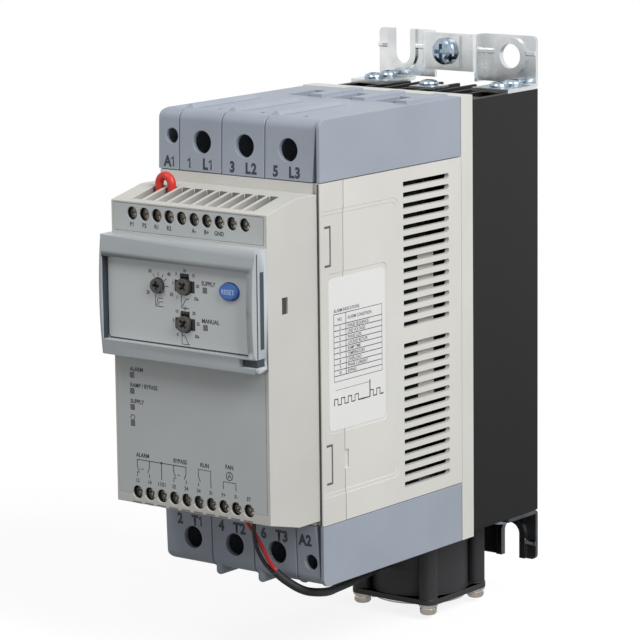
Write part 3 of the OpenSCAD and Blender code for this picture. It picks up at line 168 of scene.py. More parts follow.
def painted_shade_gradient(name, deep, open_end, deep_y, open_y):
    """Plastic with painted shade that darkens from a funnel's open end to its deep end, both given in mm."""
    material, tree, shader, coords = start_material(name)
    split = add(tree, "ShaderNodeSeparateXYZ", {"Vector": coords})
    limits = [(y - REAR_Y) * MM for y in (deep_y, open_y)]
    tone = two_tones(tree, split.outputs["Y"], deep, open_end, *limits)
    tree.links.new(tone, shader.inputs["Base Color"])
    shader.inputs["Roughness"].default_value = 0.6
    return material


def insulation(name, low, high, roughness):
    """Soft PVC wire insulation: a slight sheen and faint streaks."""
    material, tree, shader, coords = start_material(name)
    streak = add(tree, "ShaderNodeTexNoise", {"Vector": coords}, {"Scale": 1 / (3 * MM), "Detail": 2})
    tree.links.new(two_tones(tree, streak.outputs["Fac"], low, high), shader.inputs["Base Color"])
    rough = add(tree, "ShaderNodeMapRange", {"Value": streak.outputs["Fac"]},
                {"To Min": roughness - 0.05, "To Max": roughness + 0.05})
    tree.links.new(rough.outputs["Result"], shader.inputs["Roughness"])
    return material


FINISHES = {
    # Light grey-cream ABS with a fine matt grain.
    "cream_plastic": moulded("moulded_cream_abs", "#d3d2cc", "#d9d8d3", 0.55),
    # Blue-grey polyamide of the terminal covers, slightly shinier.
    "cover_plastic": moulded("moulded_blue_grey_polyamide", "#979fab", "#9fa7b3", 0.5),
    # Cooler grey ABS of the snap-on bezel.
    "bezel_plastic": moulded("moulded_grey_abs", "#a9afb2", "#b0b6b9", 0.48),
    # Printed polyester film, smooth and even.
    "panel_film": moulded("printed_grey_film", "#b9bdbd", "#bec2c2", 0.42, 1.2, 0.03),
    "settings_film": moulded("printed_light_grey_film", "#c6cacb", "#cbcfd0", 0.4, 1.2, 0.03),
    # Dark grey glass-filled plastic of the dials.
    "dial_plastic": moulded("moulded_dark_grey_dial", "#474643", "#51504d", 0.5),
    # Glossy blue button cap.
    "button_plastic": moulded("moulded_blue_button", "#3c6cb8", "#4576c2", 0.3, 1.0, 0.04),
    "lamp_plastic": moulded("smoked_light_pipe", "#5d6263", "#666b6c", 0.25, 1.0, 0.02),
    "black_anodised": anodised("black_anodised_aluminium", "#101012", "#171719"),
    # Bright blue-passivated zinc on sheet steel.
    "zinc_steel": plated("zinc_plated_sheet", "#c9cccd", "#e4e6e6", 0.24, 9),
    "screw_steel": plated("zinc_plated_screw", "#8495a6", "#aebbc7", 0.17, 3),
    # Nickel-plated brass of the small terminal screws, with bright random patches painted in as glints.
    "terminal_nickel": plated("nickel_plated_brass_painted_glints", "#8a8275", "#fff8ec", 0.24, 0.6, 0.4, 0.65),
    "clamp_steel": plated("zinc_plated_clamp", "#9d9c98", "#b9b8b4", 0.35, 4),
    "board_green": moulded("green_solder_mask", "#14291d", "#193222", 0.35, 2.0, 0.1),
    "relay_white": moulded("moulded_white_relay_case", "#dedcd6", "#e6e4df", 0.5),
    "component_black": moulded("moulded_black_epoxy", "#2c2c2f", "#353538", 0.6),
    "thermal_grey": moulded("silicone_thermal_pad", "#b9bcc1", "#c3c6ca", 0.7),
    "copper": plated("bare_copper", "#b06f45", "#c98a5c", 0.35, 5),
    "core_blue": moulded("moulded_dark_blue_coil_case", "#1c2740", "#223050", 0.5),
    # Black glass-filled polyester of the fan.
    "fan_plastic": moulded("moulded_black_fan_polyester", "#252527", "#2d2d30", 0.5, 0.8, 0.15),
    "wire_red": insulation("red_wire_insulation", "#c5241d", "#d2352c", 0.4),
    "wire_black": insulation("black_wire_insulation", "#111113", "#19191b", 0.62),
}

slot_of = {part["node"]: part["material_slot"] for part in frame["record"]["subparts"]}
body_of = {node: body for body, group in frame["record"]["behaviour"]["bodies"].items() for node in group}

# The control module and the front frame are slightly darker mouldings than the shell.
MODULE_CREAM = moulded("moulded_darker_cream_abs", "#c3c2bd", "#c9c8c3", 0.55)
FRAME_CREAM = moulded("moulded_front_cream_abs", "#cdccc7", "#d3d2cd", 0.55)
FAN_NICKEL = plated("warm_nickel_plated_screw", "#d8cfc5", "#efe7de", 0.16, 2)
# The lower bracket's zinc is painted dark, as a painted reflection of the dark heatsink beside it.
ZINC_WITH_PAINTED_REFLECTION = plated("zinc_plated_sheet_painted_dark_reflection", "#5c5e60", "#85888a", 0.16, 9)
OWN_FINISHES = {
    "control_housing": MODULE_CREAM,
    "front_frame": FRAME_CREAM,
    "fan_screws": FAN_NICKEL,
    "lower_bracket": ZINC_WITH_PAINTED_REFLECTION,
}


def finish_of(node):
    """The material of a solid."""
    return OWN_FINISHES.get(node, FINISHES[slot_of[node]])


for node_name, node_object in nodes.items():
    node_object.data.materials.clear()
    node_object.data.materials.append(finish_of(node_name))


def finish_piece(piece, material, body="chassis"):
    """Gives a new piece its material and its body."""
    piece.data.materials.clear()
    piece.data.materials.append(material)
    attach(piece, body)
    return piece


# Camera, light and floor

CAMERA_AZIMUTH = math.radians(37.75)
CAMERA_HEIGHT = math.radians(10.40)
CAMERA_ROLL = math.radians(-0.66)
CAMERA_DISTANCE = 1.2866
FOCAL_PX = 3374.5
AIM = at(-9.56, 60, 85.16)


def set_camera():
    """A camera at the photograph's viewing angle."""
    back = Vector((math.sin(CAMERA_AZIMUTH) * math.cos(CAMERA_HEIGHT),
                   -math.cos(CAMERA_AZIMUTH) * math.cos(CAMERA_HEIGHT), math.sin(CAMERA_HEIGHT)))
    right = (-back).cross(Vector((0, 0, 1))).normalized()
    up = right.cross(-back)
    turned_right = right * math.cos(CAMERA_ROLL) + up * math.sin(CAMERA_ROLL)
    turned_up = up * math.cos(CAMERA_ROLL) - right * math.sin(CAMERA_ROLL)
    data = bpy.data.cameras.new("camera")
    data.sensor_width = 36
    data.lens = data.sensor_width * FOCAL_PX / IMAGE_PX
    data.clip_end = 20
    camera = bpy.data.objects.new("camera", data)
    bpy.context.scene.collection.objects.link(camera)
    turn = Matrix((turned_right, turned_up, back)).transposed().to_4x4()
    camera.matrix_world = Matrix.Translation(AIM + back * CAMERA_DISTANCE) @ turn
    bpy.context.scene.camera = camera


AMBIENT = 0.36
BACKDROP = 1.0
WHITE = (1, 1, 1, 1)
FLOOR_SIZE = 1.0
FLOOR_GAP = 2 * MM
FLOOR_GREY = (0.22, 0.22, 0.22, 1)
FLOOR_GLOW = 0.85
FLOOR_MIRRORED_GLOW = 0.25


def add_light(name, place, aim, size, watts):
    """A soft rectangular lamp that faces a point."""
    data = bpy.data.lights.new(name, "AREA")
    data.shape = "RECTANGLE"
    data.size, data.size_y = size
    data.energy = watts
    lamp = bpy.data.objects.new(name, data)
    bpy.context.scene.collection.objects.link(lamp)
    lamp.location = place
    lamp.rotation_euler = (Vector(aim) - Vector(place)).to_track_quat("-Z", "Y").to_euler()


def set_light():
    """Even white surroundings, a large softbox above at the right and a near one above the front."""
    world = bpy.data.worlds.new("studio")
    bpy.context.scene.world = world
    world.use_nodes = True
    tree = world.node_tree
    tree.nodes["Background"].inputs["Color"].default_value = WHITE
    tree.nodes["Background"].inputs["Strength"].default_value = AMBIENT
    backdrop = add(tree, "ShaderNodeBackground", inputs={"Color": WHITE, "Strength": BACKDROP})
    ray = add(tree, "ShaderNodeLightPath").outputs
    through = add(tree, "ShaderNodeMath", {0: ray["Is Glossy Ray"], 1: ray["Is Transmission Ray"]},
                  operation="MAXIMUM")
    seen = add(tree, "ShaderNodeMath", {0: ray["Is Camera Ray"], 1: through.outputs["Value"]},
               operation="MAXIMUM")
    mix = add(tree, "ShaderNodeMixShader", {"Fac": seen.outputs["Value"]})
    tree.links.new(tree.nodes["Background"].outputs["Background"], mix.inputs[1])
    tree.links.new(backdrop.outputs["Background"], mix.inputs[2])
    tree.links.new(mix.outputs["Shader"], tree.nodes["World Output"].inputs["Surface"])
    add_light("right_softbox", (1.65, -0.4, 1.2), (0, -0.08, 0), (1.2, 1.2), 38)
    add_light("front_softbox", (-0.1, -0.75, 0.85), (0, -0.15, 0.05), (0.5, 0.4), 2.6)


def set_floor():
    """A plain white floor that takes the part's soft shadow."""
    bpy.ops.object.select_all(action="DESELECT")
    bpy.ops.mesh.primitive_plane_add(size=FLOOR_SIZE, location=(0, 0, cad_box[0][2] - FLOOR_GAP))
    floor = bpy.context.object
    floor.name = "floor"
    bpy.ops.object.transform_apply(location=True)
    material, tree, shader, _ = start_material("white_studio_floor")
    shader.inputs["Base Color"].default_value = FLOOR_GREY
    shader.inputs["Roughness"].default_value = 0.9
    shader.inputs["Specular IOR Level"].default_value = 0.0
    ray = add(tree, "ShaderNodeLightPath").outputs
    mirrored = add(tree, "ShaderNodeMath", {0: ray["Is Glossy Ray"]}, {1: FLOOR_MIRRORED_GLOW},
                   operation="MULTIPLY")
    glow = add(tree, "ShaderNodeMath", {0: ray["Is Camera Ray"], 2: mirrored.outputs["Value"]},
               {1: FLOOR_GLOW}, operation="MULTIPLY_ADD")
    shader.inputs["Emission Color"].default_value = WHITE
    tree.links.new(glow.outputs["Value"], shader.inputs["Emission Strength"])
    floor.data.materials.append(material)


# Fan lead: two wires that join in a sleeve, along the same points as the solids.
RED_ROUTE = [
    (14.5, -18.6, 32), (14.5, -18.6, 30.4), (14.5, -18.3, 28.8), (14.6, -17.6, 27.2), (14.7, -16.7, 25.6),
    (14.9, -15.6, 24), (15.1, -14.3, 22.2), (15.4, -12.8, 20.2), (15.6, -11.3, 18), (15.8, -9.8, 15.6),
    (16, -8.4, 13.2), (16.2, -7.1, 11), (16.5, -5.9, 8.8), (16.8, -4.9, 6.9), (17.3, -3.9, 5.4),
    (18.1, -3.5, 4.6),
]
BLACK_ROUTE = [
    (20.3, -18.6, 32), (20.3, -18.7, 30.4), (20.2, -18.7, 28.8), (19.9, -18.3, 27.2), (19.4, -17.7, 25.6),
    (18.7, -16.9, 24), (17.8, -15.9, 22.2), (16.8, -14.6, 20.2), (15.9, -13.2, 18), (15.2, -11.7, 15.6),
    (14.8, -10.2, 13.2), (14.6, -8.7, 11), (14.7, -7.2, 8.8), (15, -5.8, 6.7), (15.5, -4.7, 5.3),
    (16.2, -3.9, 4.1), (17, -3.5, 3.3),
]
SLEEVE_ROUTE = [
    (17.7, -3.4, 3.8), (20, -2.2, 1.6), (22.6, -0.8, -0.4), (25, 1, -2.2), (26.6, 3.6, -3.6),
    (27.2, 7, -4.6), (26.8, 11, -5.6), (25.4, 16, -6.8), (23.2, 21, -8), (20.6, 26, -9.2),
    (17.8, 31, -10.3), (14.8, 37, -11.5), (11.8, 44, -12.7), (8.8, 52, -13.8), (5.8, 61, -14.7),
    (3.2, 70, -15.2), (1.2, 78, -15.3), (0.2, 84, -15.2), (0, 90.7, -15.2),
]
WIRE_MM = 1.5
SLEEVE_MM = 3.2


def smooth_route(route, steps=4):
    """Points on a smooth curve through a route given in mm."""
    points = [at(*p) for p in route]
    ends = [2 * points[0] - points[1]] + points + [2 * points[-1] - points[-2]]
    smooth = []
    for i in range(1, len(ends) - 2):
        a, b, c, d = ends[i - 1:i + 3]
        for k in range(steps):
            t = k / steps
            smooth.append(0.5 * (2 * b + (c - a) * t + (2 * a - 5 * b + 4 * c - d) * t ** 2
                                 + (3 * b - a - 3 * c + d) * t ** 3))
    smooth.append(points[-1])
    return smooth


def make_lead(node, route, diameter_mm, material):
    """A round flexible lead that takes the place of its solid."""
    points = smooth_route(route)
    data = bpy.data.curves.new(node + "_cord", "CURVE")
    data.dimensions = "3D"
    data.bevel_depth = diameter_mm * MM / 2
    data.bevel_resolution = 5
    data.use_fill_caps = True
    spline = data.splines.new("POLY")
    spline.points.add(len(points) - 1)
    for spot, place in zip(spline.points, points):
        spot.co = (*place, 1)
    lead = bpy.data.objects.new(node + "_cord", data)
    bpy.context.scene.collection.objects.link(lead)
    finish_piece(lead, material, "chassis")
    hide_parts(node)


set_camera()
set_light()
set_floor()
make_lead("fan_lead_red", RED_ROUTE, WIRE_MM, FINISHES["wire_red"])
make_lead("fan_lead_black", BLACK_ROUTE, WIRE_MM, FINISHES["wire_black"])
make_lead("fan_lead_sleeve", SLEEVE_ROUTE, SLEEVE_MM, FINISHES["wire_black"])


# Softened mouldings and pressings

# Angles in degrees: faces that count as one flat, edges that get a bevel, and edges that shade smooth.
FLAT_ANGLE = 0.4
BEVEL_ANGLE = 32
SMOOTH_ANGLE = 40
# A small angle that keeps the bends of the pressed brackets crisp.
PRESSED_ANGLE = 14
WELD_MM = 0.002


def round_edges(piece, chosen, radius_mm):
    """Rounds the edges of a piece whose two ends pass a test on their place in mm."""
    mesh = piece.data
    passed = [chosen(*[v / MM for v in spot.co - at(0, 0, 0)]) for spot in mesh.vertices]
    for group in (mesh.vertices, mesh.polygons):
        group.foreach_set("select", [False] * len(group))
    mesh.edges.foreach_set("select", [all(passed[i] for i in edge.vertices) for edge in mesh.edges])
    bpy.context.tool_settings.mesh_select_mode = (False, True, False)
    bpy.ops.object.mode_set(mode="EDIT")
    bpy.ops.mesh.bevel(offset=radius_mm * MM, segments=5, clamp_overlap=False)
    bpy.ops.mesh.select_all(action="DESELECT")
    bpy.ops.object.mode_set(mode="OBJECT")
    bpy.context.tool_settings.mesh_select_mode = (True, False, False)


def soften(node, edge_mm, flatten=True, rounding=None, turn=None, smooth=SMOOTH_ANGLE):
    """A copy of a solid with smooth curves and its sharp edges rounded, which takes the solid's place."""
    source = nodes[node]
    piece = source.copy()
    piece.data = source.data.copy()
    piece.name = node + "_moulded"
    bpy.context.scene.collection.objects.link(piece)
    piece.parent = None
    piece.matrix_world = Matrix.Identity(4)
    bpy.ops.object.select_all(action="DESELECT")
    piece.select_set(True)
    bpy.context.view_layer.objects.active = piece
    bpy.ops.object.mode_set(mode="EDIT")
    bpy.ops.mesh.select_all(action="SELECT")
    bpy.ops.mesh.remove_doubles(threshold=WELD_MM * MM)
    if flatten:
        bpy.ops.mesh.dissolve_limited(angle_limit=math.radians(FLAT_ANGLE))
    bpy.ops.object.mode_set(mode="OBJECT")
    if turn:
        middle = Matrix.Translation(at(turn[0], 0, turn[1]))
        piece.data.transform(middle @ Matrix.Rotation(math.pi / 4, 4, "Y") @ middle.inverted())
    if rounding:
        round_edges(piece, *rounding)
    if edge_mm:
        bevel = piece.modifiers.new("edges", "BEVEL")
        bevel.width = edge_mm * MM
        bevel.segments = 2
        bevel.limit_method = "ANGLE"
        bevel.angle_limit = math.radians(BEVEL_ANGLE)
        bevel.use_clamp_overlap = False
        bpy.ops.object.modifier_apply(modifier=bevel.name)
    bpy.ops.object.shade_smooth_by_angle(angle=math.radians(smooth))
    even = piece.modifiers.new("even_faces", "WEIGHTED_NORMAL")
    even.keep_sharp = True
    bpy.ops.object.modifier_apply(modifier=even.name)
    finish_piece(piece, finish_of(node), body_of[node])
    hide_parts(node)


# Edge radii in mm.
SOFT_EDGES = {
    "main_housing": 0.07, "front_frame": 0.07, "line_terminal_cover": 0.2, "load_terminal_cover": 0.2,
    "control_housing": 0.22, "current_dial": 0.2, "reset_button": 0.35, "fan_frame": 0.25, "heatsink": 0.2,
}
DIAL_EDGE = 0.2
# Places across and up in mm.
CURRENT_DIAL = (-9.7, 112.1)
RAMP_UP_DIAL = (2.6, 112.9)
RAMP_DOWN_DIAL = (2.6, 99.3)
BUTTON = (23.4, 113.0)
for soft_node, soft_edge in SOFT_EDGES.items():
    soften(soft_node, soft_edge)
for bracket in ("upper_bracket", "lower_bracket"):
    soften(bracket, 0, smooth=PRESSED_ANGLE)
soften("ramp_up_dial", DIAL_EDGE, turn=RAMP_UP_DIAL)
soften("ramp_down_dial", DIAL_EDGE, turn=RAMP_DOWN_DIAL)


def bezel_corner(x, y, z):
    """Whether a point is on the bezel's left front edge."""
    return x < -35.9 and y < -34


BEZEL_CORNER_R = 1.7
soften("front_bezel", 0, flatten=False, rounding=(bezel_corner, BEZEL_CORNER_R))


# Printed markings

INK_PROUD = 0.03
CAP_HEIGHT = 0.69
LETTER_WIDTH = 0.9
FACE_Y = -28.8
PANEL_Y = -34.2
COVER_LEAN = math.atan(0.6 / 18.5)

# Dark grey pad-printing ink, matt and slightly uneven.
INK = moulded("pad_printed_dark_ink", "#2c2e31", "#36383b", 0.6, 0.3, 0.05)
COVER_INK = moulded("pad_printed_black_ink", "#2a2e36", "#343841", 0.6, 0.3, 0.05)
LABEL_FILM = moulded("white_polyester_label", "#e0e0df", "#e4e4e3", 0.4, 1.2, 0.02)
BUTTON_INK = moulded("pad_printed_pale_blue_ink", "#a3bfe8", "#afc9ee", 0.5, 0.3, 0.05)


def join_pieces(pieces, name):
    """Joins pieces into one named piece."""
    bpy.ops.object.select_all(action="DESELECT")
    for piece in pieces:
        piece.select_set(True)
    bpy.context.view_layer.objects.active = pieces[0]
    if len(pieces) > 1:
        bpy.ops.object.join()
    joined = bpy.context.object
    joined.name = name
    joined.data.name = name
    return joined


def letter(words, x, y, z, height, lean=0.0, align="CENTER", bold=0.04):
    """Flat lettering that faces the front, its middle at a point in mm."""
    bpy.ops.object.select_all(action="DESELECT")
    bpy.ops.object.text_add()
    piece = bpy.context.object
    piece.data.body = words
    piece.data.size = height / CAP_HEIGHT * MM
    piece.data.align_x = align
    piece.data.offset = bold * height * MM
    piece.data.resolution_u = 4
    bpy.ops.object.convert(target="MESH")
    down = Matrix.Translation((0, -height / 2 * MM, 0))
    stand = Matrix.Rotation(math.pi / 2 - lean, 4, "X")
    narrow = Matrix.Diagonal((LETTER_WIDTH, 1, 1, 1))
    piece.matrix_world = Matrix.Translation(at(x, y, z)) @ stand @ narrow @ down
    bpy.ops.object.transform_apply(location=True, rotation=True, scale=True)
    return piece


def print_words(name, words, material, body="chassis"):
    """Prints a list of words as one piece."""
    piece = join_pieces([letter(*word) for word in words], name)
    return finish_piece(piece, material, body)


def print_lines(name, strokes, place, width, material, body="chassis"):
    """Prints strokes given as lists of right and up in mm, as flat lines on a placed surface."""
    data = bpy.data.curves.new(name, "CURVE")
    data.dimensions = "3D"
    data.bevel_depth = width / 2 * MM
    data.bevel_resolution = 1
    data.use_fill_caps = True
    for stroke in strokes:
        spline = data.splines.new("POLY")
        spline.points.add(len(stroke) - 1)
        for spot, (x, z) in zip(spline.points, stroke):
            spot.co = (x * MM, 0, z * MM, 1)
    piece = bpy.data.objects.new(name, data)
    bpy.context.scene.collection.objects.link(piece)
    bpy.ops.object.select_all(action="DESELECT")
    piece.select_set(True)
    bpy.context.view_layer.objects.active = piece
    bpy.ops.object.convert(target="MESH")
    piece = bpy.context.object
    flat = Matrix.Diagonal((1, 2 * INK_PROUD / width, 1, 1))
    piece.matrix_world = place @ flat
    bpy.ops.object.transform_apply(location=True, rotation=True, scale=True)
    return finish_piece(piece, material, body)


def front_place(y):
    """The place of a flat surface that faces the front."""
    return Matrix.Translation(at(0, y, 0))


def ring(x, z, radius, start=0, end=360, steps=24):
    """Points on an arc around a middle, angles in degrees from +X."""
    turns = [math.radians(start + (end - start) * i / steps) for i in range(steps + 1)]
    return [(x + radius * math.cos(turn), z + radius * math.sin(turn)) for turn in turns]


TERMINAL_PITCH = 5.8
TERMINAL_X = [(i - 4.5) * TERMINAL_PITCH for i in range(10)]
# The middles of the upper and the lower row's screws.
TERMINAL_Z = (136.25, 32.95)
LINE_POLES = (-17, 3, 23)
LOAD_POLES = (-24.6, -4.6, 15.4)
COVER_BOLD = 0.07


def cover_words():
    """Pole designations on the two leaning cover fronts."""
    for name, poles, z, seam_z, lean, height, shift, supply_x, labels in (
            ("line_cover_words", LINE_POLES, 151.5, 148.5, COVER_LEAN, 3.7, -5.6, -32.0,
             ("1", "L1", "3", "L2", "5", "L3", "A1")),
            ("load_cover_words", LOAD_POLES, 16.7, 22.5, -COVER_LEAN, 3.8, -6.0, 28.8,
             ("2", "T1", "4", "T2", "6", "T3", "A2"))):
        y = abs(z - seam_z) * math.tan(COVER_LEAN) - INK_PROUD
        places = [x for pole in poles for x in (pole + shift, pole + shift + 8.5)] + [supply_x]
        words = []
        ones = []
        for x, label in zip(places, labels):
            middle = x - height * 0.34 if len(label) > 1 else x
            end = x + height * 0.42 if len(label) > 1 else x
            if label[0] != "1":
                words.append((label[0], middle, y, z, height, lean, "CENTER", COVER_BOLD))
            if label[-1] == "1":
                flag = (end - height * 0.26, height * 0.2)
                ones.append([flag, (end, height * 0.46), (end, -height * 0.5)])
            elif len(label) > 1:
                words.append((label[-1], end, y, z, height, lean, "CENTER", COVER_BOLD))
        print_words(name, words, COVER_INK)
        leaning = Matrix.Translation(at(0, y, z)) @ Matrix.Rotation(-lean, 4, "X")
        print_lines(name + "_ones", ones, leaning, height * 0.22, COVER_INK)


def module_words():
    """Terminal designations, lamp words and function words on the module's face."""
    y = FACE_Y - INK_PROUD
    words = []
    for x, label in zip(TERMINAL_X, ("P1", "P2", "R1", "R2", "", "A-", "B+", "GND")):
        if label:
            words.append((label, x, y, 132.2, 1.5))
    for x, label in zip(TERMINAL_X, ("12", "14", "11/21", "22", "24", "34", "31", "F+", "F-", "ST")):
        words.append((label, x, y, 37.3, 1.35))
    for z, label in ((78.8, "ALARM"), (72.8, "RAMP / BYPASS"), (66.8, "SUPPLY")):
        words.append((label, -28.7, y, z, 1.5, 0.0, "LEFT"))
    functions = ((-23.4, 47.0, "ALARM"), (-5.6, 47.0, "BYPASS"), (5.9, 47.0, "RUN"), (17.4, 47.8, "FAN"))
    for x, z, label in functions:
        words.append((label, x, y, z, 1.5))
    print_words("module_words", words, INK)


def module_diagram():
    """Relay contact diagram above the lower terminals and the frame of the lamp symbol."""
    x = TERMINAL_X
    top, low = 45.2, 38.9
    strokes = [[(x[0], top), (x[4], top)], [(x[2], top), (x[2], low)]]
    for left, right in ((x[0], x[1]), (x[3], x[4])):
        strokes.append([(left, top), (left, 42.8), (left + 0.5, 41.5), (left + 1.0, 41.0)])
        strokes.append([(left, low), (left, 40.5), (left + 1.1, 40.5)])
        strokes.append([(left + 1.9, 41.8), (left + 2.9, 41.8)])
        strokes.append([(right, top), (right, 42.6), (right - 0.9, 40.6)])
        strokes.append([(right, low), (right, 40.3)])
    strokes.append([(x[5], 42.8), (x[5], top), (x[6], top), (x[6], low)])
    strokes.append([(x[5], 42.8), (x[5] + 0.9, 40.6)])
    strokes.append([(x[5], low), (x[5], 40.2)])
    strokes.append([(x[7], 39.5), (x[7], 42.2), (x[8], 42.2), (x[8], 39.5)])
    strokes.append(ring(17.4, 44.5, 1.5))
    strokes.append([(16.6, 43.6), (17.4, 45.6), (18.2, 43.6)])
    strokes.append([(16.9, 44.3), (17.9, 44.3)])
    strokes.append(ring(-27.8, 60.7, 1.05, steps=6))
    place = front_place(FACE_Y - INK_PROUD)
    print_lines("module_diagram", strokes, place, 0.32, INK)
    print_lines("module_diagram_dot", [ring(x[2], top, 0.28)], place, 0.5, INK)


def settings_words():
    """Scale numbers around the dials and the lamp words on the settings panel."""
    y = PANEL_Y - INK_PROUD
    words = []
    current_places = ((-3.8, 4.95), (5.1, 4.55), (-4.8, -2.9), (6.1, -2.7))
    for (dx, dz), label in zip(current_places, ("30", "40", "20", "50")):
        words.append((label, CURRENT_DIAL[0] + dx, y, CURRENT_DIAL[1] + dz, 1.2))
    places = ((-3.6, -4.2), (-5.5, 0.9), (-3.8, 4.3), (0, 5.7), (4.1, 4.25), (6.0, 0.6), (5.3, -4.0))
    for (x, z), labels in ((RAMP_UP_DIAL, ("1", "2", "5", "10", "15", "20", "20s")),
                           (RAMP_DOWN_DIAL, ("0", "5", "10", "15", "20", "25", "30s"))):
        for (dx, dz), label in zip(places, labels):
            words.append((label, x + dx, y, z + dz, 1.15))
    words.append(("SUPPLY", 13.6, y, 114.8, 1.5))
    words.append(("MANUAL", 14.3, y, 101.3, 1.5))
    print_words("settings_words", words, INK)


def settings_lines():
    """Dial ticks, ramp symbols, and a dark line round the panel's edge as painted shade of the recess walls.
    """
    place = front_place(PANEL_Y - INK_PROUD)
    x, z = CURRENT_DIAL
    strokes = []
    for angle in (0, 35, 60, 90, 120):
        turn = math.radians(angle)
        strokes.append([(x + r * math.cos(turn), z + r * math.sin(turn)) for r in (3.4, 4.8)])
    strokes.append([(x - 1.4, z - 3.4), (x - 1.4, z - 7.6), (x + 2.2, z - 7.6)])
    strokes.append([(x - 1.0, z - 7.2), (x - 0.2, z - 4.6), (x + 2.1, z - 4.6)])
    strokes.append([(x - 0.4, z - 7.2), (x + 0.4, z - 5.9), (x + 2.1, z - 5.9)])
    x, z = RAMP_UP_DIAL
    strokes.append([(x - 1.6, z - 3.5), (x - 1.6, z - 7.9), (x + 1.9, z - 7.9)])
    strokes.append([(x - 1.2, z - 7.5), (x - 0.4, z - 6.0), (x + 0.6, z - 4.5), (x + 1.9, z - 4.5)])
    x, z = RAMP_DOWN_DIAL
    strokes.append([(x - 1.6, z - 3.5), (x - 1.6, z - 7.4), (x + 1.9, z - 7.4)])
    strokes.append([(x - 1.4, z - 4.3), (x - 0.3, z - 4.3), (x + 1.4, z - 7.2)])
    print_lines("settings_symbols", strokes, place, 0.3, INK)
    # Painted shade: a dark line round the panel's edge.
    x0, x1, z0, z1, r = -33.6, 33.0, 91.0, 120.8, 1.2
    border = ring(x1 - r, z1 - r, r, 90, 0, 6) + ring(x1 - r, z0 + r, r, 0, -90, 6)
    border += ring(x0 + r, z0 + r, r, 270, 180, 6) + ring(x0 + r, z1 - r, r, 180, 90, 6)
    print_lines("settings_edge_shade", [border + border[:1]], place, 0.45, INK)


def button_word():
    """The word on the push button."""
    word = [("RESET", BUTTON[0], PANEL_Y - 1.3 - INK_PROUD, BUTTON[1], 1.7)]
    print_words("button_word", word, BUTTON_INK, "reset_button")


ALARM_CONDITIONS = (
    "PHASE SEQUENCE", "LINE VOLTAGE", "PHASE LOSS", "LOCKED ROTOR", "RAMP TIME", "TEMPERATURE", "OVERLOAD",
    "PHASE CURRENT", "BYPASS",
)


def side_label():
    """A white label with a table of alarm conditions and a pulse line in the bed on the right side."""
    wide, tall, thick, corner = 33.9, 56.0, 0.1, 2.0
    left, low, bed_x = 4.8, 57.0, 37.0
    bpy.ops.object.select_all(action="DESELECT")
    bpy.ops.mesh.primitive_plane_add(size=1)
    plate = bpy.context.object
    plate.name = "side_label"
    plate.scale = (wide * MM, tall * MM, 1)
    bpy.ops.object.transform_apply(scale=True)
    bpy.ops.object.mode_set(mode="EDIT")
    bpy.ops.mesh.select_all(action="SELECT")
    bpy.ops.mesh.bevel(offset=corner * MM, segments=6, affect="VERTICES")
    bpy.ops.mesh.select_all(action="SELECT")
    bpy.ops.mesh.extrude_region_move(TRANSFORM_OT_translate={"value": (0, 0, thick * MM)})
    bpy.ops.object.mode_set(mode="OBJECT")
    facing_right = Matrix.Rotation(math.pi / 2, 4, "Z") @ Matrix.Rotation(math.pi / 2, 4, "X")
    plate.matrix_world = Matrix.Translation(at(bed_x, left + wide / 2, low + tall / 2)) @ facing_right
    bpy.ops.object.transform_apply(location=True, rotation=True, scale=True)
    finish_piece(plate, LABEL_FILM)
    place = Matrix.Translation(at(bed_x + thick, left, low)) @ Matrix.Rotation(math.pi / 2, 4, "Z")
    x0, x1, top, head, rows, pitch = 3.0, 32.0, 42.7, 38.7, 10, 2.08
    strokes = [[(x0, top), (x1, top), (x1, head - rows * pitch), (x0, head - rows * pitch), (x0, top)]]
    strokes += [[(x0, head - i * pitch), (x1, head - i * pitch)] for i in range(rows)]
    strokes.append([(x0 + 7.2, top), (x0 + 7.2, head - (rows - 1) * pitch)])
    print_lines("side_label_table", strokes, place, 0.32, INK)
    number_x, condition_x, cap, bold = x0 + 3.6, x0 + 8.2, 1.2, 0.012
    heading_z = (top + head) / 2
    words = [("ALARM INDICATIONS", x0, top + 1.3, "LEFT"), ("NO.", number_x, heading_z, "CENTER"),
             ("ALARM CONDITION", condition_x, heading_z, "LEFT")]
    for i, condition in enumerate(ALARM_CONDITIONS):
        middle = head - (i + 0.5) * pitch
        words.append((str(i + 2), number_x, middle, "CENTER"))
        words.append((condition, condition_x, middle, "LEFT"))
    pieces = [letter(word, x, -INK_PROUD, z, cap, 0.0, align, bold) for word, x, z, align in words]
    table = join_pieces(pieces, "side_label_words")
    table.data.transform(place @ Matrix.Translation(-at(0, 0, 0)))
    finish_piece(table, INK)
    beat, base, high, mark_x = 2.05, 9.2, 11.5, x0 + 21.4
    pulses = []
    for first, count in ((x0, 4), (mark_x, 2)):
        pulses.append((first, base))
        for i in range(count):
            start = first + 2 * i * beat
            pulses += [(start, high), (start + beat, high), (start + beat, base), (start + 2 * beat, base)]
    print_lines("side_label_pulses", [pulses, [(mark_x, base), (mark_x, base + 6.4)]], place, 0.6, INK)
    print_lines("side_label_span", [[(x0 + 0.6, base + 5.6), (mark_x, base + 5.6)]], place, 0.18, INK)
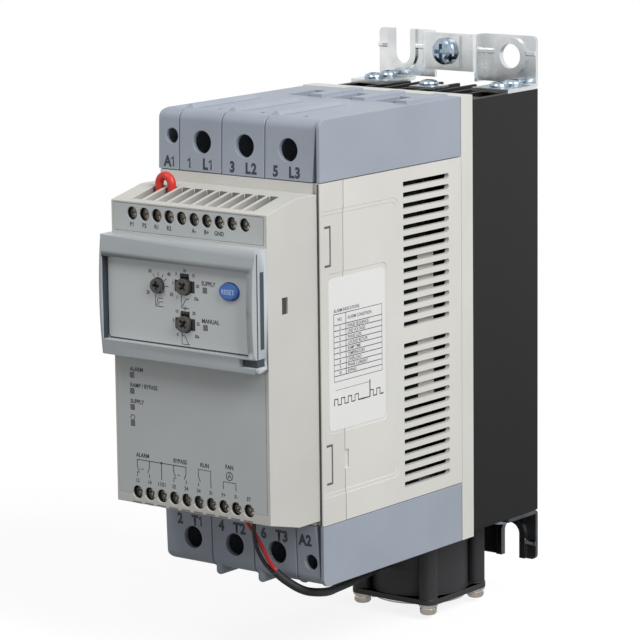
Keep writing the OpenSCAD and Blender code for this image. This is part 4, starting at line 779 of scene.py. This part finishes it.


# Dark inserts: terminal bores, gaps and slots that lie in deep shade.
# Painted shade: the dark colours below stand in for shade in bores, gaps, slits, vents, rib feet and
# funnels; only the dial collars keep their own colour.
SHADE = moulded("painted_shade_black", "#17181a", "#1e1f22", 0.7, shine=0.15)
SHADE_FILM = moulded("painted_shade_black_film", "#08080a", "#0d0d0f", 0.8, shine=0.05)
GAP_SHADE = moulded("painted_shade_grey", "#4a4945", "#54534e", 0.7)
VENT_HOLE_SHADE = moulded("painted_shade_dark_grey", "#42413e", "#4b4a46", 0.7, shine=0.2)
BEZEL_SHADE = moulded("painted_shade_slate", "#343a43", "#3c434d", 0.6)
LATCH_SHADE = moulded("painted_shade_dark_cream", "#57554f", "#63615b", 0.6)
FUNNEL_END_SHADE = moulded("painted_shade_cream", "#74726c", "#7e7c76", 0.6)
LUG = moulded("moulded_black_collar", "#33322f", "#3b3a37", 0.6, shine=0.2)
FOOT_SHADE = moulded("painted_shade_blue_grey", "#737c8a", "#7b8492", 0.6)
FUNNEL_SHADE = painted_shade_gradient("painted_shade_cream_funnel", "#7f7e7a", "#b6b5b0", -12.0, -26.0)


# Edge of the thinnest blocks in mm.
THIN_EDGE = 0.01


def block(name, x, y, z, material, slot, edge_mm=0.04, steps=1):
    """A box with broken edges between limits in mm."""
    low, high = at(x[0], y[0], z[0]), at(x[1], y[1], z[1])
    bpy.ops.object.select_all(action="DESELECT")
    bpy.ops.mesh.primitive_cube_add(size=1)
    piece = bpy.context.object
    piece.name = name
    piece.matrix_world = Matrix.Translation((low + high) / 2) @ Matrix.Diagonal((*(high - low), 1))
    bpy.ops.object.transform_apply(location=True, rotation=True, scale=True)
    bpy.ops.object.mode_set(mode="EDIT")
    bpy.ops.mesh.select_all(action="SELECT")
    bpy.ops.mesh.bevel(offset=edge_mm * MM, segments=steps)
    bpy.ops.object.mode_set(mode="OBJECT")
    return finish_piece(piece, material)


def repeat(piece, offsets):
    """Copies a piece to offsets in the part's frame, the piece itself to the first."""
    pieces = [piece]
    for _ in offsets[1:]:
        copy = piece.copy()
        copy.data = piece.data.copy()
        bpy.context.scene.collection.objects.link(copy)
        pieces.append(copy)
    for spot, offset in zip(pieces, offsets):
        spot.data.transform(Matrix.Translation(offset))
    return pieces


def along(places):
    """Offsets along X for places in mm."""
    return [Vector((x * MM, 0, 0)) for x in places]


def terminal_bores():
    """Painted shade: black linings in the screw holes of both control terminal rows."""
    radius, thick, depth = 2.44, 0.12, (0.6, 2.1)
    bpy.ops.object.select_all(action="DESELECT")
    bpy.ops.mesh.primitive_cylinder_add(vertices=32, radius=radius * MM, depth=(depth[1] - depth[0]) * MM,
                                        end_fill_type="NOTHING", rotation=(math.pi / 2, 0, 0))
    lining = bpy.context.object
    bpy.ops.object.transform_apply(rotation=True)
    solid = lining.modifiers.new("wall", "SOLIDIFY")
    solid.thickness = thick * MM
    bpy.ops.object.modifier_apply(modifier=solid.name)
    bpy.ops.object.shade_smooth_by_angle(angle=math.radians(SMOOTH_ANGLE))
    spots = [at(x, FACE_Y + sum(depth) / 2, z) for z in TERMINAL_Z for x in TERMINAL_X]
    finish_piece(join_pieces(repeat(lining, spots), "terminal_bores"), SHADE)


def dark_inserts():
    """Painted shade: dark blocks in the bezel's slot, joint, notch and recess edge, in the gap beside the
    control module and in its side vent.
    """
    for name, x, y, z, material in (
            ("bezel_slot_shade", (34.85, 36.03), (-33.1, -30.9), (93.2, 120.9), BEZEL_SHADE),
            ("bezel_joint_shade", (35.55, 36.03), (-35.0, -34.35), (90.2, 127.4), BEZEL_SHADE),
            ("bezel_notch_shade", (29.05, 35.5), (-34.6, -30.3), (86.95, 89.85), BEZEL_SHADE),
            ("bezel_left_shade", (-33.98, -33.86), (-36.7, -34.25), (90.7, 121.1), BEZEL_SHADE),
            ("module_gap_shade", (36.05, 36.95), (-0.12, -0.02), (23.0, 148.0), GAP_SHADE),
            ("module_vent_shade", (34.3, 35.3), (-20.5, -17.4), (103.9, 109.7), VENT_HOLE_SHADE)):
        block(name, x, y, z, material, "component_black")


def latch_shades():
    """Painted shade: dark bottoms of the slits around the four snap latches."""
    slits = []
    for side in (-1, 1):
        x = sorted((side * 36.55, side * 36.95))
        for z in (37.45, 117.48):
            slits.append((x, (5.62, 6.48), (z + 0.02, z + 14.98)))
            slits.append((x, (2.72, 5.6), (z + 0.02, z + 0.88)))
            slits.append((x, (2.72, 5.6), (z + 14.12, z + 14.98)))
    pieces = [block(f"latch_slit_{i}", *slit, LATCH_SHADE, "cream_plastic") for i, slit in enumerate(slits)]
    finish_piece(join_pieces(pieces, "latch_shades"), LATCH_SHADE)


def vent_shades():
    """Painted shade: black strips inside the side vents, before the board's edge and its rails."""
    y, z = (49.6, 61.3), (26.0, 145.0)
    pieces = []
    for i, side in enumerate((-1, 1)):
        x = sorted((side * 35.42, side * 35.58))
        pieces.append(block(f"vent_strip_{i}", x, y, z, SHADE_FILM, "component_black"))
    finish_piece(join_pieces(pieces, "vent_shades"), SHADE_FILM)


def dial_lugs():
    """Dark collars of the two ramp potentiometers, in the panel's openings beside the dials."""
    pieces = []
    y = (PANEL_Y - 0.5, PANEL_Y + 0.7)
    near, far, half, edge = 3.35, 4.5, 1.9, 0.3
    offsets = [Vector((x * MM, 0, z * MM)) for x, z in (RAMP_UP_DIAL, RAMP_DOWN_DIAL)]
    for x, z in (((-half, half), (near, far)), ((-far, -near), (-half, half)), ((near, far), (-half, half))):
        pieces += repeat(block("lug", x, y, z, LUG, "dial_plastic", edge), offsets)
    finish_piece(join_pieces(pieces, "dial_lugs"), LUG)


def cover_shades():
    """Painted shade: dark probe holes and dark lines at the feet of the ribs on top of the line cover."""
    top = 2 * HALF_H
    y, z = (7.25, 9.15), (top - 1.2, top - 0.25)
    probe = block("probe", (1.15, 3.45), y, z, SHADE_FILM, "component_black")
    probes = repeat(probe, along(LINE_POLES))
    finish_piece(join_pieces(probes, "probe_shades"), SHADE_FILM)
    # Painted shade: a darker strip at each rib's foot.
    y, z = (7, 43), (top - 0.1, top + INK_PROUD)
    foot = block("foot", (-6.5, -6.05), y, z, FOOT_SHADE, "cover_plastic", THIN_EDGE)
    feet = repeat(foot, along(LINE_POLES))
    finish_piece(join_pieces(feet, "rib_feet"), FOOT_SHADE)


def funnel_shades():
    """Painted shade: darkening linings on the walls and ends of the upper wire funnels, and the plain lip
    before them.
    """
    rise, run = 3.9, 16.7
    lip = Matrix.Translation(at(0, FACE_Y, 140.5)) @ Matrix.Rotation(math.atan2(rise, run), 4, "X")
    tilt = lip @ Matrix.Translation(-at(0, 0, 0))
    wall_x, wall_y, wall_z = (-2.08, -2.02), (2.4, 17.1), (-4.5, -0.05)
    wall = block("funnel_wall", wall_x, wall_y, wall_z, FUNNEL_SHADE, "cream_plastic", THIN_EDGE)
    wall.data.transform(tilt)
    end_x, end_y, end_z = (-2.02, 2.08), (-11.5, -11.44), (137.2, 144.3)
    end = block("funnel_end", end_x, end_y, end_z, FUNNEL_SHADE, "cream_plastic", THIN_EDGE)
    pieces = repeat(wall, along(TERMINAL_X)) + repeat(end, along(TERMINAL_X))
    finish_piece(join_pieces(pieces, "funnel_shades"), FUNNEL_SHADE)
    strip_x, strip_y, strip_z = (-31, 31), (0.5, 2.6), (-0.2, INK_PROUD)
    strip = block("funnel_lip", strip_x, strip_y, strip_z, MODULE_CREAM, "cream_plastic", THIN_EDGE)
    strip.data.transform(tilt)


def cover_tabs():
    """Rounded tabs that hang under the load cover beside two of its seams."""
    x, y, z = (0.25, 3.55), (1.4, 13.5), (-3.05, 3.0)
    seams, edge, steps = (-15.4, 4.6), 1.6, 6
    material = FINISHES["cover_plastic"]
    tab = block("tab", x, y, z, material, "cover_plastic", edge, steps)
    bpy.ops.object.shade_smooth()
    finish_piece(join_pieces(repeat(tab, along(seams)), "cover_tabs"), material)


def edge_funnel_shades():
    """Painted shade: dark strips for the shaded ends of the lower wire funnels along the module's lower
    front edge.
    """
    x, y, z = (-2.45, 1.75), (FACE_Y - INK_PROUD, FACE_Y + 0.3), (28.85, 29.4)
    edge_shade = block("edge_shade", x, y, z, FUNNEL_END_SHADE, "cream_plastic", THIN_EDGE)
    edge_shades = repeat(edge_shade, along(TERMINAL_X))
    finish_piece(join_pieces(edge_shades, "edge_funnel_shades"), FUNNEL_END_SHADE)


def dial_crosses():
    """Painted shade: dark bottoms of the cross recesses in the dials."""
    y = PANEL_Y - 0.7 - INK_PROUD
    for body, (x, z), reach in (("current_dial", CURRENT_DIAL, 1.55), ("ramp_up_dial", RAMP_UP_DIAL, 1.75),
                                ("ramp_down_dial", RAMP_DOWN_DIAL, 1.75)):
        start = 0 if body == "current_dial" else 45
        turns = [math.radians(start + quarter) for quarter in (0, 90)]
        tips = [(reach * math.cos(turn), reach * math.sin(turn)) for turn in turns]
        arms = [[(x - dx, z - dz), (x + dx, z + dz)] for dx, dz in tips]
        print_lines(body + "_cross", arms, front_place(y), 0.95, SHADE, body)


terminal_bores()
dark_inserts()
latch_shades()
vent_shades()
dial_lugs()
cover_shades()
funnel_shades()
cover_tabs()
edge_funnel_shades()
dial_crosses()
cover_words()
module_words()
module_diagram()
settings_words()
settings_lines()
button_word()
side_label()

bpy.context.scene.view_settings.view_transform = "Standard"
